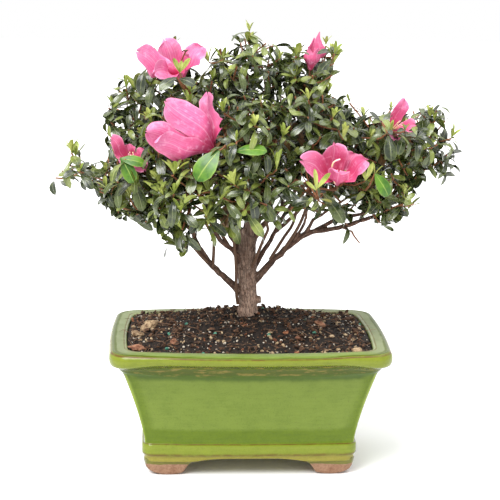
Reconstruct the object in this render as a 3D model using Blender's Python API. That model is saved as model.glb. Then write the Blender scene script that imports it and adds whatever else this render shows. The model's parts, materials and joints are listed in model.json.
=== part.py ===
"""An azalea bonsai in bloom, in a glazed rectangular pot that stands on four feet.

Metres, +Z up. The front of the tree faces -Y. While it is modelled, the trunk stands close to
X = Y = 0 and the ground is at Z = 0. At the end everything moves together, so that the middle
of the whole plant's outline is at X = Y = 0.
"""

import itertools
import math
import random
from dataclasses import dataclass

import bmesh
import bpy
from mathutils import Quaternion, Vector
from mathutils.bvhtree import BVHTree

MM = 0.001
UP = Vector((0, 0, 1))
GAP = 0.3 * MM
GOLDEN_ANGLE = math.pi * (3 - math.sqrt(5))

# The pot: a common eight-inch bonsai pot.
POT_LENGTH = 205 * MM
POT_DEPTH = 157 * MM
POT_HEIGHT = 92 * MM
POT_X = 1.5 * MM
LIP_WIDTH = 16.5 * MM
LIP_THICKNESS = 7.5 * MM
RIM_CORNER = 20 * MM
RIM_BOW_FRONT = 8 * MM
RIM_BOW_SIDE = 3 * MM
WALL_THICKNESS = 7 * MM
FLOOR_THICKNESS = 9 * MM
NECK_HEIGHT = 18 * MM
WAIST_INSET = 15.5 * MM
WAIST_HOLLOW = 0.35
SIDE_SPREAD_FOOT = 2.1 * MM
SIDE_SPREAD = 4.9 * MM
BASE_INSET = 25.5 * MM
BASE_CORNER = 8 * MM
BASE_BOW = 0.35
LEDGE_HEIGHT = 9.5 * MM
LEDGE_PROUD = 1.5 * MM
SKIRT_HEIGHT = 3.5 * MM
FOOT_HEIGHT = 10 * MM
FLOOR_Z = FOOT_HEIGHT + FLOOR_THICKNESS
LEDGE_TOP_Z = FOOT_HEIGHT + SKIRT_HEIGHT + LEDGE_HEIGHT
SHOULDER_Z = POT_HEIGHT - NECK_HEIGHT

# The feet, each under a corner of the pot.
FOOT_TOP_LENGTH = 37 * MM
FOOT_TOP_DEPTH = 28 * MM
FOOT_FLARE = 13 * MM
FOOT_INSET = 1.5 * MM
FOOT_TUCK = 1.6 * MM
FOOT_CORNER = 5 * MM

# The soil, mounded towards a flat seat for the trunk.
SOIL_BELOW_RIM = 5 * MM
SOIL_MOUND = 16 * MM
SOIL_SEAT = 13 * MM
SEAT_Z = POT_HEIGHT - SOIL_BELOW_RIM + SOIL_MOUND

# The trunk, as rise above the soil, X and radius in millimetres, from the flare to the fork.
TRUNK_X = 0.7 * MM
TRUNK_Y = 8 * MM
TRUNK_LINE = (
    (0, 0.8, 9.2),
    (3.6, 1.0, 8.0),
    (8.6, 1.4, 7.1),
    (26.6, 0.5, 6.6),
    (44.6, 0.2, 6.0),
    (56.6, 0.3, 6.0),
    (62.6, 0.6, 4.8),
)
TRUNK_SIDES = 12
TRUNK_RIBS = 3
RIB_DEPTH = 0.14
STUB_HEIGHT = 9.6 * MM
STUB_RADIUS = 3.2 * MM
STUB_LENGTH = 3 * MM
KNOB_RADIUS = 2.8 * MM

# Limbs, twigs and leaves.
LIMB_SIDES = 6
RING_SPACING = 11 * MM
SEAT_GAP = 1.15 * GAP
STEM_RADIUS = 1.3 * MM
TWIG_RADIUS = 0.8 * MM
NECK_SHARE = 0.1
HUB_SHARE = 0.45
BUD_RADIUS = 1.1 * MM
BUD_HEIGHT = 1.9 * MM
LEAF_LENGTH = 23 * MM
LEAF_WIDTH_SHARE = 0.48
LEAF_THICKNESS = 0.9 * MM
LEAF_SIZES = (1.0, 0.82, 0.66, 0.5)
LEAF_NUDGES = (0.0, 0.4, -0.4)
WHORLS_AT_30_MM = 4.4
WHORL_SHARES = (0.52, 0.4, 0.28, 0.15, 0.0)
CROWN_HEART = Vector((0, 5, 195)) * MM
BLOOM_RADIUS = 24 * MM
BLOOM_DEPTH_SHARE = 0.62
BLOOM_THICKNESS_SHARE = 0.04
PETALS = 5
SPACE_CLEARANCE = 0.4 * MM
LIMB_CLEARANCE = 0.45 * MM
MERGE_DISTANCE = 0.002 * MM
SOLVERS = ("EXACT", "MANIFOLD")

# The crown's masses of foliage: the middle and the reach of each, in millimetres.
MASSES = {
    "left_arm": ((-116, -10, 211), 31),
    "left_low": ((-83, -22, 200), 32),
    "left_shoulder": ((-84, 2, 250), 31),
    "left_crown": ((-48, -4, 280), 34),
    "left_heart": ((-48, -36, 240), 34),
    "front_left": ((-42, -52, 202), 31),
    "low_left": ((-50, -10, 169), 18),
    "top": ((-2, 0, 288), 34),
    "centre_front": ((-2, -48, 246), 34),
    "front_low": ((-4, -58, 206), 30),
    "top_right": ((49, 0, 281), 32),
    "right_crown": ((42, -28, 248), 34),
    "front_right": ((40, -54, 208), 32),
    "right_shoulder": ((86, -2, 240), 33),
    "right_far": ((125, 2, 236), 33),
    "right_arm": ((113, -18, 202), 31),
    "right_low": ((77, -20, 200), 30),
    "low_right": ((80, -17, 164), 15),
    "back_left": ((-72, 46, 216), 36),
    "back_mid_left": ((-28, 54, 250), 37),
    "back_centre": ((6, 64, 210), 36),
    "back_mid_right": ((46, 54, 246), 37),
    "back_right": ((88, 46, 214), 36),
}


@dataclass(frozen=True)
class Limb:
    """A tapering limb and the mass of foliage that it carries.

    It leaves its parent at a share of the parent's length, and passes through its bends, in
    millimetres, to its tip. Its radii, in millimetres, are those of its foot and its tip.
    """

    parent: str
    start: float
    bends: tuple
    radii: tuple
    mass: str
    shift: tuple = (0, 0, 0)


LIMBS = {
    "bough_left_low": Limb(
        "trunk",
        0.184,
        ((-22.7, 0, 139), (-29.3, -2, 146), (-39, -8, 164), (-43, -24, 184)),
        (3.1, 1.8),
        "front_left",
    ),
    "bough_left_side": Limb(
        "bough_left_low", 0.78, ((-48, -12, 176), (-62, -16, 187)), (1.5, 1.2), "left_low"
    ),
    "bough_left_arm": Limb(
        "bough_left_side", 0.55, ((-70, -6, 190), (-98, -10, 204)), (1.2, 1.0), "left_arm"
    ),
    "twig_low_left": Limb(
        "bough_left_low", 0.42, ((-38, -5, 155), (-42, -8, 160)), (1.0, 0.9), "low_left"
    ),
    "bough_left_mid": Limb(
        "trunk",
        0.497,
        ((-10, 3, 152), (-22.7, -5, 165.4), (-32, -14, 190), (-40, -24, 216)),
        (2.4, 1.4),
        "left_heart",
    ),
    "bough_left_back": Limb(
        "trunk", 0.531, ((-12, 12, 162), (-24, 20, 182), (-50, 34, 200)), (1.9, 1.3), "back_left"
    ),
    "bough_right_low": Limb(
        "trunk",
        0.329,
        ((25, 2, 151), (43, -4, 166.5), (67, -8, 172), (97, -13, 183)),
        (3.2, 1.6),
        "right_arm",
    ),
    "bough_right_upper": Limb(
        "bough_right_low",
        0.52,
        ((67, -3, 178), (91, -2, 184), (106, 0, 199), (115, 2, 212)),
        (1.7, 1.2),
        "right_far",
    ),
    "twig_low_right": Limb(
        "bough_right_low", 0.72, ((74, -13, 171), (76, -14, 170)), (0.9, 0.8), "low_right"
    ),
    "bough_right_rise": Limb(
        "bough_right_low", 0.46, ((48, -9, 178), (60, -14, 187)), (1.5, 1.2), "right_low"
    ),
    "bough_right_thin": Limb(
        "bough_right_low", 0.33, ((41, -8, 174), (42, -30, 192)), (1.3, 1.1), "front_right"
    ),
    "bough_right_mid": Limb(
        "trunk",
        0.441,
        ((18, 14, 159), (33, 20, 183), (48, 28, 190), (66, 36, 200)),
        (2.3, 1.3),
        "back_right",
    ),
    "bough_right_fork": Limb(
        "bough_right_mid",
        0.30,
        ((37, 10, 180), (54, 6, 200), (69, 4, 218)),
        (1.7, 1.2),
        "right_shoulder",
    ),
    "bough_back": Limb("trunk", 0.597, ((10, 26, 168), (12, 48, 192)), (2.0, 1.4), "back_centre"),
    "bough_right_high": Limb(
        "trunk", 0.821, ((13, 6, 173), (32, 0, 193), (40, -14, 222)), (2.6, 1.4), "right_crown"
    ),
    "bough_back_right": Limb(
        "bough_right_high", 0.40, ((30, 22, 208), (42, 38, 226)), (1.6, 1.2), "back_mid_right"
    ),
    "leader_right": Limb(
        "trunk", 1.0, ((5, 9, 193), (3, 7, 225), (1, 3, 262)), (2.6, 1.4), "top", (1.6, 0.8, 0)
    ),
    "bough_back_left": Limb(
        "leader_right", 0.28, ((-8, 30, 220), (-20, 42, 232)), (1.7, 1.3), "back_mid_left"
    ),
    "bough_top_right": Limb(
        "leader_right", 0.40, ((20, 5, 236), (38, 2, 262)), (1.7, 1.2), "top_right"
    ),
    "bough_front": Limb(
        "leader_right", 0.22, ((4, -10, 210), (0, -28, 224)), (1.7, 1.2), "centre_front"
    ),
    "bough_front_low": Limb(
        "leader_right", 0.12, ((2, -14, 190), (-2, -40, 196)), (1.4, 1.1), "front_low"
    ),
    "leader_left": Limb(
        "trunk", 0.81, ((-12.5, 6, 182), (-20, 3, 214), (-38, -2, 252)), (2.6, 1.3), "left_crown"
    ),
    "bough_left_shoulder": Limb(
        "leader_left", 0.42, ((-42, 5, 224), (-66, 3, 236)), (1.5, 1.2), "left_shoulder"
    ),
}


@dataclass(frozen=True)
class Bloom:
    """A flower fused to a mass: its middle in millimetres, the way it faces, its size and opening."""

    mass: str
    middle: tuple
    facing: tuple
    size: float
    openness: float


BLOOMS = (
    Bloom("left_crown", (-56, -26, 294), (-0.3, -0.5, 0.8), 1.0, 1.0),
    Bloom("left_heart", (-58, -60, 254), (-0.75, -0.4, 0.5), 1.1, 0.8),
    Bloom("front_right", (55, -72, 224), (0.05, -0.6, 0.75), 0.95, 1.0),
    Bloom("top_right", (45, -6, 302), (0.1, -0.1, 1.0), 0.6, 0.15),
    Bloom("right_far", (110, -24, 254), (-0.2, -0.3, 1.0), 0.65, 0.5),
    Bloom("left_low", (-87, -46, 229), (-0.5, -0.6, 0.5), 0.65, 0.8),
)

# Colour, roughness and metallic value of each finish.
FINISHES = {
    "glaze": ((0.26, 0.35, 0.07), 0.15, 0.0),
    "bare_clay": ((0.38, 0.23, 0.13), 0.85, 0.0),
    "soil": ((0.06, 0.045, 0.03), 0.95, 0.0),
    "bark": ((0.12, 0.08, 0.06), 0.9, 0.0),
    "foliage": ((0.12, 0.2, 0.05), 0.5, 0.0),
}


def clear_scene():
    """Removes whatever the scene holds."""
    for obj in list(bpy.data.objects):
        bpy.data.objects.remove(obj, do_unlink=True)


def make_material(name, finish):
    """A Principled material in one of the finishes."""
    colour, roughness, metallic = FINISHES[finish]
    material = bpy.data.materials.new(name)
    material.use_nodes = True
    shader = material.node_tree.nodes["Principled BSDF"]
    shader.inputs["Base Color"].default_value = (*colour, 1)
    shader.inputs["Roughness"].default_value = roughness
    shader.inputs["Metallic"].default_value = metallic
    return material


def add_object(name, bm, finish):
    """Turns a bmesh into a named object with a material of its own."""
    bmesh.ops.recalc_face_normals(bm, faces=bm.faces)
    mesh = bpy.data.meshes.new(name)
    bm.to_mesh(mesh)
    bm.free()
    mesh.materials.append(make_material(name, finish))
    obj = bpy.data.objects.new(name, mesh)
    bpy.context.scene.collection.objects.link(obj)
    return obj


def loft(bm, rings, cap_start=True, cap_end=True):
    """Joins rings of equal count with quads, closes the two ends and returns the rows of points."""
    rows = [[bm.verts.new(point) for point in ring] for ring in rings]
    count = len(rows[0])
    for lower, upper in zip(rows, rows[1:]):
        for i in range(count):
            j = (i + 1) % count
            bm.faces.new((lower[i], lower[j], upper[j], upper[i]))
    if cap_start:
        bm.faces.new(rows[0][::-1])
    if cap_end:
        bm.faces.new(rows[-1])
    return rows


# The pot


def rounded_quarter(half_x, half_y, bow_front, bow_side, corner):
    """A quarter of the pot's outline, from the middle of a short side to near that of a long one."""
    corner_x = half_x - bow_side
    corner_y = half_y - bow_front
    tilt_front = math.atan(2 * bow_front / corner_x)
    tilt_side = math.atan(2 * bow_side / corner_y)
    normal_front = Vector((math.sin(tilt_front), math.cos(tilt_front)))
    normal_side = Vector((math.cos(tilt_side), math.sin(tilt_side)))
    across = normal_front.x * normal_side.y - normal_front.y * normal_side.x
    inset = Vector((normal_side.y - normal_front.y, normal_front.x - normal_side.x)) / across
    centre = Vector((corner_x, corner_y)) - corner * inset
    side_end = centre + corner * normal_side
    front_end = centre + corner * normal_front
    side_steps, corner_steps, front_steps = 3, 4, 4
    points = []
    for step in range(side_steps):
        share = step / side_steps
        points.append((half_x - (half_x - side_end.x) * share**2, side_end.y * share))
    for step in range(corner_steps + 1):
        angle = tilt_side + (math.pi / 2 - tilt_front - tilt_side) * step / corner_steps
        way = Vector((math.cos(angle), math.sin(angle)))
        points.append(tuple(centre + corner * way))
    for step in range(1, front_steps):
        share = 1 - step / front_steps
        points.append((front_end.x * share, half_y - (half_y - front_end.y) * share**2))
    return points


def side_spread(z):
    """How much less the pot's short sides are drawn in than its long ones, at a height."""
    rise = max(0.0, (z - LEDGE_TOP_Z - 5 * MM) / (50 * MM))
    under_lip = min(1.0, max(0.0, (POT_HEIGHT - 6 * MM - z) / (7 * MM)))
    return (SIDE_SPREAD_FOOT + SIDE_SPREAD * rise**1.25) * under_lip


def pot_ring(inset, z, bow=1.0, corner=None):
    """The pot's outline drawn in by an inset, at a height, with a share of the rim's bow."""
    if corner is None:
        corner = RIM_CORNER - 0.4 * inset
    half_x = POT_LENGTH / 2 - inset + side_spread(z)
    half_y = POT_DEPTH / 2 - inset
    quarter = rounded_quarter(half_x, half_y, RIM_BOW_FRONT * bow, RIM_BOW_SIDE * bow, corner)
    points = quarter + [(0, half_y)]
    points += [(-x, y) for x, y in reversed(quarter[1:])] + [(-half_x, 0)]
    points += [(-x, -y) for x, y in quarter[1:]] + [(0, -half_y)]
    points += [(x, -y) for x, y in reversed(quarter[1:])]
    return [Vector((x + POT_X, y, z)) for x, y in points]


def waist_inset(share):
    """How far the body is drawn in, from its shoulder at 0 to its base at 1: a hollow taper."""
    return WAIST_INSET + (BASE_INSET - WAIST_INSET) * (share + WAIST_HOLLOW * share * (1 - share))


def waist_bow(share):
    """How much of the rim's bow is left, from the body's shoulder at 0 to its base at 1."""
    return 0.8 + (BASE_BOW - 0.8) * share


def inside_rings(spare=0.0):
    """Rings down the inside of the wall, from under the lip to the floor, drawn in by a gap."""
    rings = [pot_ring(LIP_WIDTH + spare, POT_HEIGHT - LIP_THICKNESS)]
    for share in (0.0, 0.5, 1.0):
        inset = waist_inset(share) + WALL_THICKNESS + spare
        height = SHOULDER_Z + (FLOOR_Z + spare - SHOULDER_Z) * share
        rings.append(pot_ring(inset, height, waist_bow(share)))
    return rings


def make_pot():
    """The glazed shell, lofted up its inside, over the lip and down to the underside."""
    lip_bottom = POT_HEIGHT - LIP_THICKNESS
    lip = [
        pot_ring(LIP_WIDTH, POT_HEIGHT - 1.0 * MM),
        pot_ring(LIP_WIDTH - 1.2 * MM, POT_HEIGHT),
        pot_ring(2.2 * MM, POT_HEIGHT - 0.2 * MM),
        pot_ring(0.5 * MM, POT_HEIGHT - 1.4 * MM),
        pot_ring(0, POT_HEIGHT - 3.5 * MM),
        pot_ring(0.8 * MM, lip_bottom + 1.2 * MM),
    ]
    neck = [
        pot_ring(4.5 * MM, lip_bottom - 1.2 * MM),
        pot_ring(10 * MM, lip_bottom - 2.8 * MM),
        pot_ring(WAIST_INSET - 1.5 * MM, lip_bottom - 6 * MM, 0.9),
        pot_ring(WAIST_INSET - 0.8 * MM, SHOULDER_Z + 0.5 * MM, 0.85),
    ]
    body = []
    for share in (0.0, 0.3, 0.65, 1.0):
        height = SHOULDER_Z + (LEDGE_TOP_Z - SHOULDER_Z) * share
        body.append(pot_ring(waist_inset(share), height, waist_bow(share)))
    ledge_inset = BASE_INSET - LEDGE_PROUD
    ledge_bottom = LEDGE_TOP_Z - LEDGE_HEIGHT
    ledge = [
        pot_ring(ledge_inset + 0.4 * MM, LEDGE_TOP_Z - 0.3 * MM, BASE_BOW, BASE_CORNER + 1 * MM),
        pot_ring(ledge_inset, LEDGE_TOP_Z - 2 * MM, BASE_BOW, BASE_CORNER),
        pot_ring(ledge_inset, ledge_bottom + 1.5 * MM, BASE_BOW, BASE_CORNER),
        pot_ring(BASE_INSET + 0.3 * MM, ledge_bottom, BASE_BOW, BASE_CORNER),
        pot_ring(BASE_INSET, FOOT_HEIGHT, BASE_BOW, BASE_CORNER),
    ]
    bm = bmesh.new()
    loft(bm, inside_rings()[::-1] + lip + neck + body + ledge)
    add_object("pot", bm, "glaze")


def make_foot(name, side_x, side_y):
    """A bracket foot under one corner, whose inner sides sweep up into the arch between the feet."""
    outer_x = POT_LENGTH / 2 - BASE_INSET - FOOT_INSET + SIDE_SPREAD_FOOT
    outer_y = POT_DEPTH / 2 - BASE_INSET - 2 * FOOT_INSET
    rings = []
    for share in (0.0, 0.12, 0.5, 0.8, 1.0):
        flare = FOOT_FLARE * (share**2.2 - 1)
        tuck = FOOT_TUCK * (1 - share) ** 2
        far_x = outer_x - tuck
        far_y = outer_y - tuck
        near_x = outer_x - FOOT_TOP_LENGTH - flare
        near_y = outer_y - FOOT_TOP_DEPTH - 0.7 * flare
        corners = (
            (near_x, near_y),
            (far_x, near_y),
            (far_x, far_y - FOOT_CORNER),
            (far_x - 0.3 * FOOT_CORNER, far_y - 0.3 * FOOT_CORNER),
            (far_x - FOOT_CORNER, far_y),
            (near_x, far_y),
        )
        height = (FOOT_HEIGHT - GAP) * share
        rings.append([Vector((side_x * x + POT_X, side_y * y, height)) for x, y in corners])
    bm = bmesh.new()
    loft(bm, rings)
    add_object(name, bm, "bare_clay")


def make_soil():
    """The soil that fills the pot, mounded up to a flat seat for the trunk."""
    edge = POT_HEIGHT - SOIL_BELOW_RIM
    wall = pot_ring(LIP_WIDTH + GAP, edge)
    seat_centre = Vector((TRUNK_X, TRUNK_Y, edge))
    rings = inside_rings(GAP)[::-1]
    for share in (0.0, 0.15, 0.4, 0.7, 1.0):
        rise = SOIL_MOUND * math.sin(share * math.pi / 2) ** 1.3
        ring = []
        for point in wall:
            seat = seat_centre + (point - seat_centre).normalized() * SOIL_SEAT
            ring.append(point.lerp(seat, share) + UP * rise)
        rings.append(ring)
    bm = bmesh.new()
    loft(bm, rings)
    add_object("soil", bm, "soil")


# The trunk and the limbs


class Route:
    """A smooth line through points, with a radius at each of its points."""

    def __init__(self, points, radii, spacing=RING_SPACING):
        """Runs a curve through the points. Two radii taper evenly, and more are one a point."""
        self.points = []
        for i in range(len(points) - 1):
            steps = max(1, round((points[i + 1] - points[i]).length / spacing))
            for step in range(steps):
                self.points.append(self.between(points, i, step / steps))
        self.points.append(points[-1].copy())
        self.reached = [0.0]
        for a, b in zip(self.points, self.points[1:]):
            self.reached.append(self.reached[-1] + (b - a).length)
        self.length = self.reached[-1]
        if len(radii) == 2:
            start, end = radii
            self.radii = [start + (end - start) * way / self.length for way in self.reached]
        else:
            self.radii = list(radii)

    @staticmethod
    def between(points, i, t):
        """A point between points i and i + 1 of a Catmull-Rom curve."""
        a, b = points[i], points[i + 1]
        before = points[i - 1] if i else 2 * a - b
        after = points[i + 2] if i + 2 < len(points) else 2 * b - a
        bend = (2 * before - 5 * a + 4 * b - after) * t**2
        twist = (3 * a - before - 3 * b + after) * t**3
        return 0.5 * (2 * a + (b - before) * t + bend + twist)

    def at(self, share):
        """The point and the radius at a share of the length."""
        way = share * self.length
        i = 0
        while i < len(self.points) - 2 and way > self.reached[i + 1]:
            i += 1
        t = (way - self.reached[i]) / (self.reached[i + 1] - self.reached[i])
        radius = self.radii[i] + (self.radii[i + 1] - self.radii[i]) * t
        return self.points[i].lerp(self.points[i + 1], t), radius

    def clearance(self, point):
        """How far a point lies outside the skin."""
        least = math.inf
        for i in range(len(self.points) - 1):
            a, b = self.points[i], self.points[i + 1]
            along = b - a
            t = max(0.0, min(1.0, (point - a).dot(along) / along.length_squared))
            radius = self.radii[i] + (self.radii[i + 1] - self.radii[i]) * t
            least = min(least, (point - a.lerp(b, t)).length - radius)
        return least

    def rings(self, sides):
        """Rings of points round the line, turned as little as possible along it."""
        rings = []
        across = None
        for i, point in enumerate(self.points):
            after = self.points[min(i + 1, len(self.points) - 1)]
            ahead = (after - self.points[max(i - 1, 0)]).normalized()
            across = across or ahead.orthogonal()
            across = (across - ahead * across.dot(ahead)).normalized()
            other = ahead.cross(across)
            ring = []
            for k in range(sides):
                angle = math.tau * k / sides
                way = across * math.cos(angle) + other * math.sin(angle)
                ring.append(point + way * self.radii[i])
            rings.append(ring)
        return rings


def make_trunk():
    """The trunk, from its flat cut on the soil to its fork, with a flare, a stub and a healed knob."""
    seat = SEAT_Z + GAP
    points = [Vector((x * MM, TRUNK_Y, seat + rise * MM)) for rise, x, _ in TRUNK_LINE]
    radii = [radius * MM for _, _, radius in TRUNK_LINE]
    route = Route(points, radii, spacing=1.0)
    rings = route.rings(TRUNK_SIDES)
    for i, ring in enumerate(rings):
        flare = max(0.0, 1 - i / 3)
        for k, point in enumerate(ring):
            groove = 0.5 - 0.5 * math.cos(TRUNK_RIBS * k * math.tau / TRUNK_SIDES)
            ring[k] = points[i].lerp(point, 1 - RIB_DEPTH * flare * groove)
    for point in rings[0]:
        point.z = seat
    bm = bmesh.new()
    loft(bm, rings)
    trunk = add_object("trunk", bm, "bark")
    centre, radius = route.at(STUB_HEIGHT / route.length)
    stub_end = centre + Vector((0.93, -0.3, 0.2)) * (radius + STUB_LENGTH)
    knob_start = points[-2] + Vector((-1.2, -3.0, -1.0)) * MM
    knob_end = points[-1] + Vector((-1.9, -4.8, 0.8)) * MM
    pieces = []
    for name, start, end, size in (
        ("stub", centre, stub_end, STUB_RADIUS),
        ("knob", knob_start, knob_end, KNOB_RADIUS),
    ):
        bm = bmesh.new()
        loft(bm, Route([start, end], (size, 0.8 * size)).rings(7))
        pieces.append(add_object(name, bm, "bark"))
    fuse(trunk, pieces)
    return route


def seat_points(points, direction, parent):
    """Slides points along a limb's direction until each is a gap clear of the parent's skin."""
    seated = []
    for point in points:
        place = point.copy()
        for _ in range(60):
            spare = parent.clearance(place) - SEAT_GAP
            if abs(spare) < MERGE_DISTANCE or (place - point).length > 12 * MM:
                break
            place -= direction * spare * 0.8
        seated.append(place)
    return seated


def make_limb(name, limb, routes):
    """A tapering limb whose foot is shaped to its parent's skin, a gap clear of it."""
    parent = routes[limb.parent]
    start = parent.at(limb.start)[0] + Vector(limb.shift) * MM
    bends = [Vector(bend) * MM for bend in limb.bends]
    foot_radius, tip_radius = (radius * MM for radius in limb.radii)
    direction = (bends[0] - start).normalized()
    grows_sideways = limb.start < 1.0
    bm = bmesh.new()
    if grows_sideways:
        place = start + direction * foot_radius
        while parent.clearance(place) < SEAT_GAP:
            place += direction * 0.5 * MM
    else:
        place = start + direction * SEAT_GAP
    route = Route([place] + bends, (foot_radius, tip_radius))
    rings = route.rings(LIMB_SIDES)
    if grows_sideways:
        rings[0] = seat_points(rings[0], direction, parent)
        foot = loft(bm, rings, cap_start=False)[0]
        middle = bm.verts.new(seat_points([place], direction, parent)[0])
        for i, vert in enumerate(foot):
            bm.faces.new((foot[(i + 1) % len(foot)], vert, middle))
    else:
        for point in rings[0]:
            point.z = start.z + SEAT_GAP
        loft(bm, rings)
    add_object(name, bm, "bark")
    routes[name] = route


def limb_blockers(routes):
    """A slightly swollen copy of each limb, for the leaves to stay clear of."""
    trees = []
    for route in routes.values():
        radii = [radius * 1.12 + LIMB_CLEARANCE for radius in route.radii]
        bm = bmesh.new()
        loft(bm, Route(route.points, radii, spacing=1.0).rings(8))
        trees.append(BVHTree.FromBMesh(bm))
        bm.free()
    return trees


# The flowers


def bloom_piece(bloom, swell=0.0):
    """A funnel of five joined petals, as a thin closed shell, open or still half rolled."""
    sides = 3 * PETALS
    middle = Vector(bloom.middle) * MM
    radius = BLOOM_RADIUS * bloom.size
    thickness = BLOOM_THICKNESS_SHARE * radius
    turn = UP.rotation_difference(Vector(bloom.facing))
    throat = 0.3 + 0.7 * bloom.openness
    rolled = 1 - bloom.openness
    profile = (
        (0.0, 0.12, -BLOOM_DEPTH_SHARE, 2.0),
        (0.3, 0.26 * throat, -0.36, 1.6),
        (0.65, 0.62 * throat, -0.1, 1.4),
        (1.0, 0.9 * throat, 0.06, 1.0),
    )
    inner = [[] for _ in profile]
    outer = [[] for _ in profile]
    for k in range(sides):
        angle = math.tau * k / sides
        lobe = -math.cos(PETALS * angle)
        line = []
        for share, wide, deep, _ in profile:
            reach = radius * wide * (1 + 0.26 * share**2 * lobe) + swell
            rise = radius * (deep + rolled * 0.9 * share**2 + 0.06 * share * lobe) - swell
            line.append(Vector((reach, rise)))
        way = Vector((math.cos(angle), math.sin(angle), 0))
        for i, point in enumerate(line):
            along = (line[min(i + 1, len(line) - 1)] - line[max(i - 1, 0)]).normalized()
            backed = point + Vector((along.y, -along.x)) * thickness * profile[i][3]
            inner[i].append(middle + turn @ (way * point.x + UP * point.y))
            outer[i].append(middle + turn @ (way * backed.x + UP * backed.y))
    bm = bmesh.new()
    loft(bm, outer + inner[::-1])
    return bm


def bloom_blocker(bloom):
    """The filled-in outer shape of a flower, a little swollen, for the leaves to stay clear of."""
    bm = bloom_piece(bloom, LIMB_CLEARANCE)
    hull = bmesh.ops.convex_hull(bm, input=bm.verts)
    inside = hull["geom_interior"] + hull["geom_unused"]
    verts = [item for item in inside if isinstance(item, bmesh.types.BMVert)]
    bmesh.ops.delete(bm, geom=verts, context="VERTS")
    tree = BVHTree.FromBMesh(bm)
    bm.free()
    return tree


# The masses of foliage


class Space:
    """The room a mass keeps to: its ball, cut back from its neighbours' by the planes between."""

    def __init__(self, name):
        """Finds the planes that part the named mass from every other."""
        middle, reach = MASSES[name]
        self.middle = Vector(middle) * MM
        self.reach = reach * MM
        self.planes = []
        for other, (other_middle, other_reach) in MASSES.items():
            if other != name:
                away = Vector(other_middle) * MM - self.middle
                surplus = self.reach**2 - (other_reach * MM) ** 2
                distance = (away.length + surplus / away.length) / 2
                self.planes.append((away.normalized(), distance - SPACE_CLEARANCE))

    def holds(self, point):
        """Whether a point is inside the room."""
        offset = point - self.middle
        if offset.length > self.reach:
            return False
        return all(offset.dot(normal) < distance for normal, distance in self.planes)


@dataclass
class Leaf:
    """A leaf that grows out of a small triangle: two corners of its root are its edges' feet.

    The third is its midrib's foot. A ridge of 1 puts the midrib above the edges, -1 below.
    """

    roots: tuple
    way: Vector
    face: Vector
    length: float
    ridge: float

    def root(self):
        """The middle of the root."""
        return sum((vert.co for vert in self.roots), Vector()) / 3

    def corners(self):
        """The two edges, the midrib's thickest point and the tip."""
        side = self.way.cross(self.face).normalized()
        face = side.cross(self.way).normalized()
        half_width = side * self.length * LEAF_WIDTH_SHARE / 2
        broad = self.root() + self.way * self.length * 0.5
        edge = broad - face * self.length * 0.03 * self.ridge
        midrib = broad + face * LEAF_THICKNESS * self.ridge
        tip = self.root() + self.way * self.length - face * self.length * 0.05
        return edge + half_width, edge - half_width, midrib, tip

    def add(self, bm):
        """Grows the leaf out of its root's face, which it replaces."""
        left, right, midrib, tip = (bm.verts.new(point) for point in self.corners())
        bm.faces.remove(bm.faces.get(self.roots))
        ring = (left, right, midrib)
        for i in range(3):
            j = (i + 1) % 3
            bm.faces.new((self.roots[i], self.roots[j], ring[j], ring[i]))
            bm.faces.new((ring[i], ring[j], tip))

    def outline(self):
        """The leaf alone, from just outside its bud, as a tree to test against its surroundings."""
        left, right, midrib, tip = self.corners()
        root = self.root() + self.way * 1.5 * MM
        faces = ((0, 1, 2), (1, 3, 2), (0, 2, 4), (2, 3, 4), (0, 4, 1), (1, 4, 3))
        return BVHTree.FromPolygons((root, left, right, tip, midrib), faces)


class Sprig:
    """A three-sided twig that ends in a six-sided bud, each of whose sides can grow a leaf."""

    def __init__(self, start, bud, axis, turn):
        """Builds the twig from its start to its bud, which points along an axis."""
        across = Quaternion(axis, turn) @ axis.orthogonal().normalized()
        self.axis = axis
        self.sides = [Quaternion(axis, math.pi / 3 * k) @ across for k in range(6)]
        back = (bud - start).normalized()
        foot, lower = [], []
        for side in self.sides[1::2]:
            level = (side - back * side.dot(back)).normalized()
            foot.append(start + level * TWIG_RADIUS)
            lower.append(bud - axis * BUD_HEIGHT / 2 + side * BUD_RADIUS)
        self.bm = bmesh.new()
        self.lower = loft(self.bm, [foot, lower], cap_end=False)[1]
        self.upper = []
        for side in self.sides[0::2]:
            self.upper.append(self.bm.verts.new(bud + axis * BUD_HEIGHT / 2 + side * BUD_RADIUS))
        for k in range(3):
            after = (k + 1) % 3
            self.bm.faces.new((self.upper[k], self.lower[k], self.upper[after]))
            self.bm.faces.new((self.lower[k], self.lower[after], self.upper[after]))
        self.bm.faces.new(self.upper)

    def seats(self, dice):
        """Each place for a leaf: its root, its way out, its lift, its upper side and its ridge."""
        top = (self.upper[1], self.upper[2], self.upper[0])
        seats = [(top, self.sides[0], math.pi / 2, self.sides[0], 1.0)]
        for k in range(3):
            after = (k + 1) % 3
            rising = (self.upper[k], self.upper[after], self.lower[k])
            seats.append((rising, self.sides[2 * k + 1], dice.uniform(0.35, 0.75), self.axis, -1.0))
            spread = (self.lower[k], self.lower[after], self.upper[after])
            way = self.sides[(2 * k + 2) % 6]
            seats.append((spread, way, dice.uniform(-0.25, 0.2), self.axis, 1.0))
        return seats

    def grow_leaves(self, clear, dice):
        """Grows each leaf at the largest size and the nearest lift that are clear."""
        grown = []
        for roots, side, lift, face, ridge in self.seats(dice):
            length = LEAF_LENGTH * dice.uniform(0.92, 1.08)
            for size, nudge in itertools.product(LEAF_SIZES, LEAF_NUDGES):
                way = side * math.cos(lift + nudge) + self.axis * math.sin(lift + nudge)
                leaf = Leaf(roots, way, face, length * size, ridge)
                outline = leaf.outline()
                apart = not any(outline.overlap(other) for other in grown)
                if apart and clear(outline, leaf.corners()):
                    leaf.add(self.bm)
                    grown.append(outline)
                    break
        return grown


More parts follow.
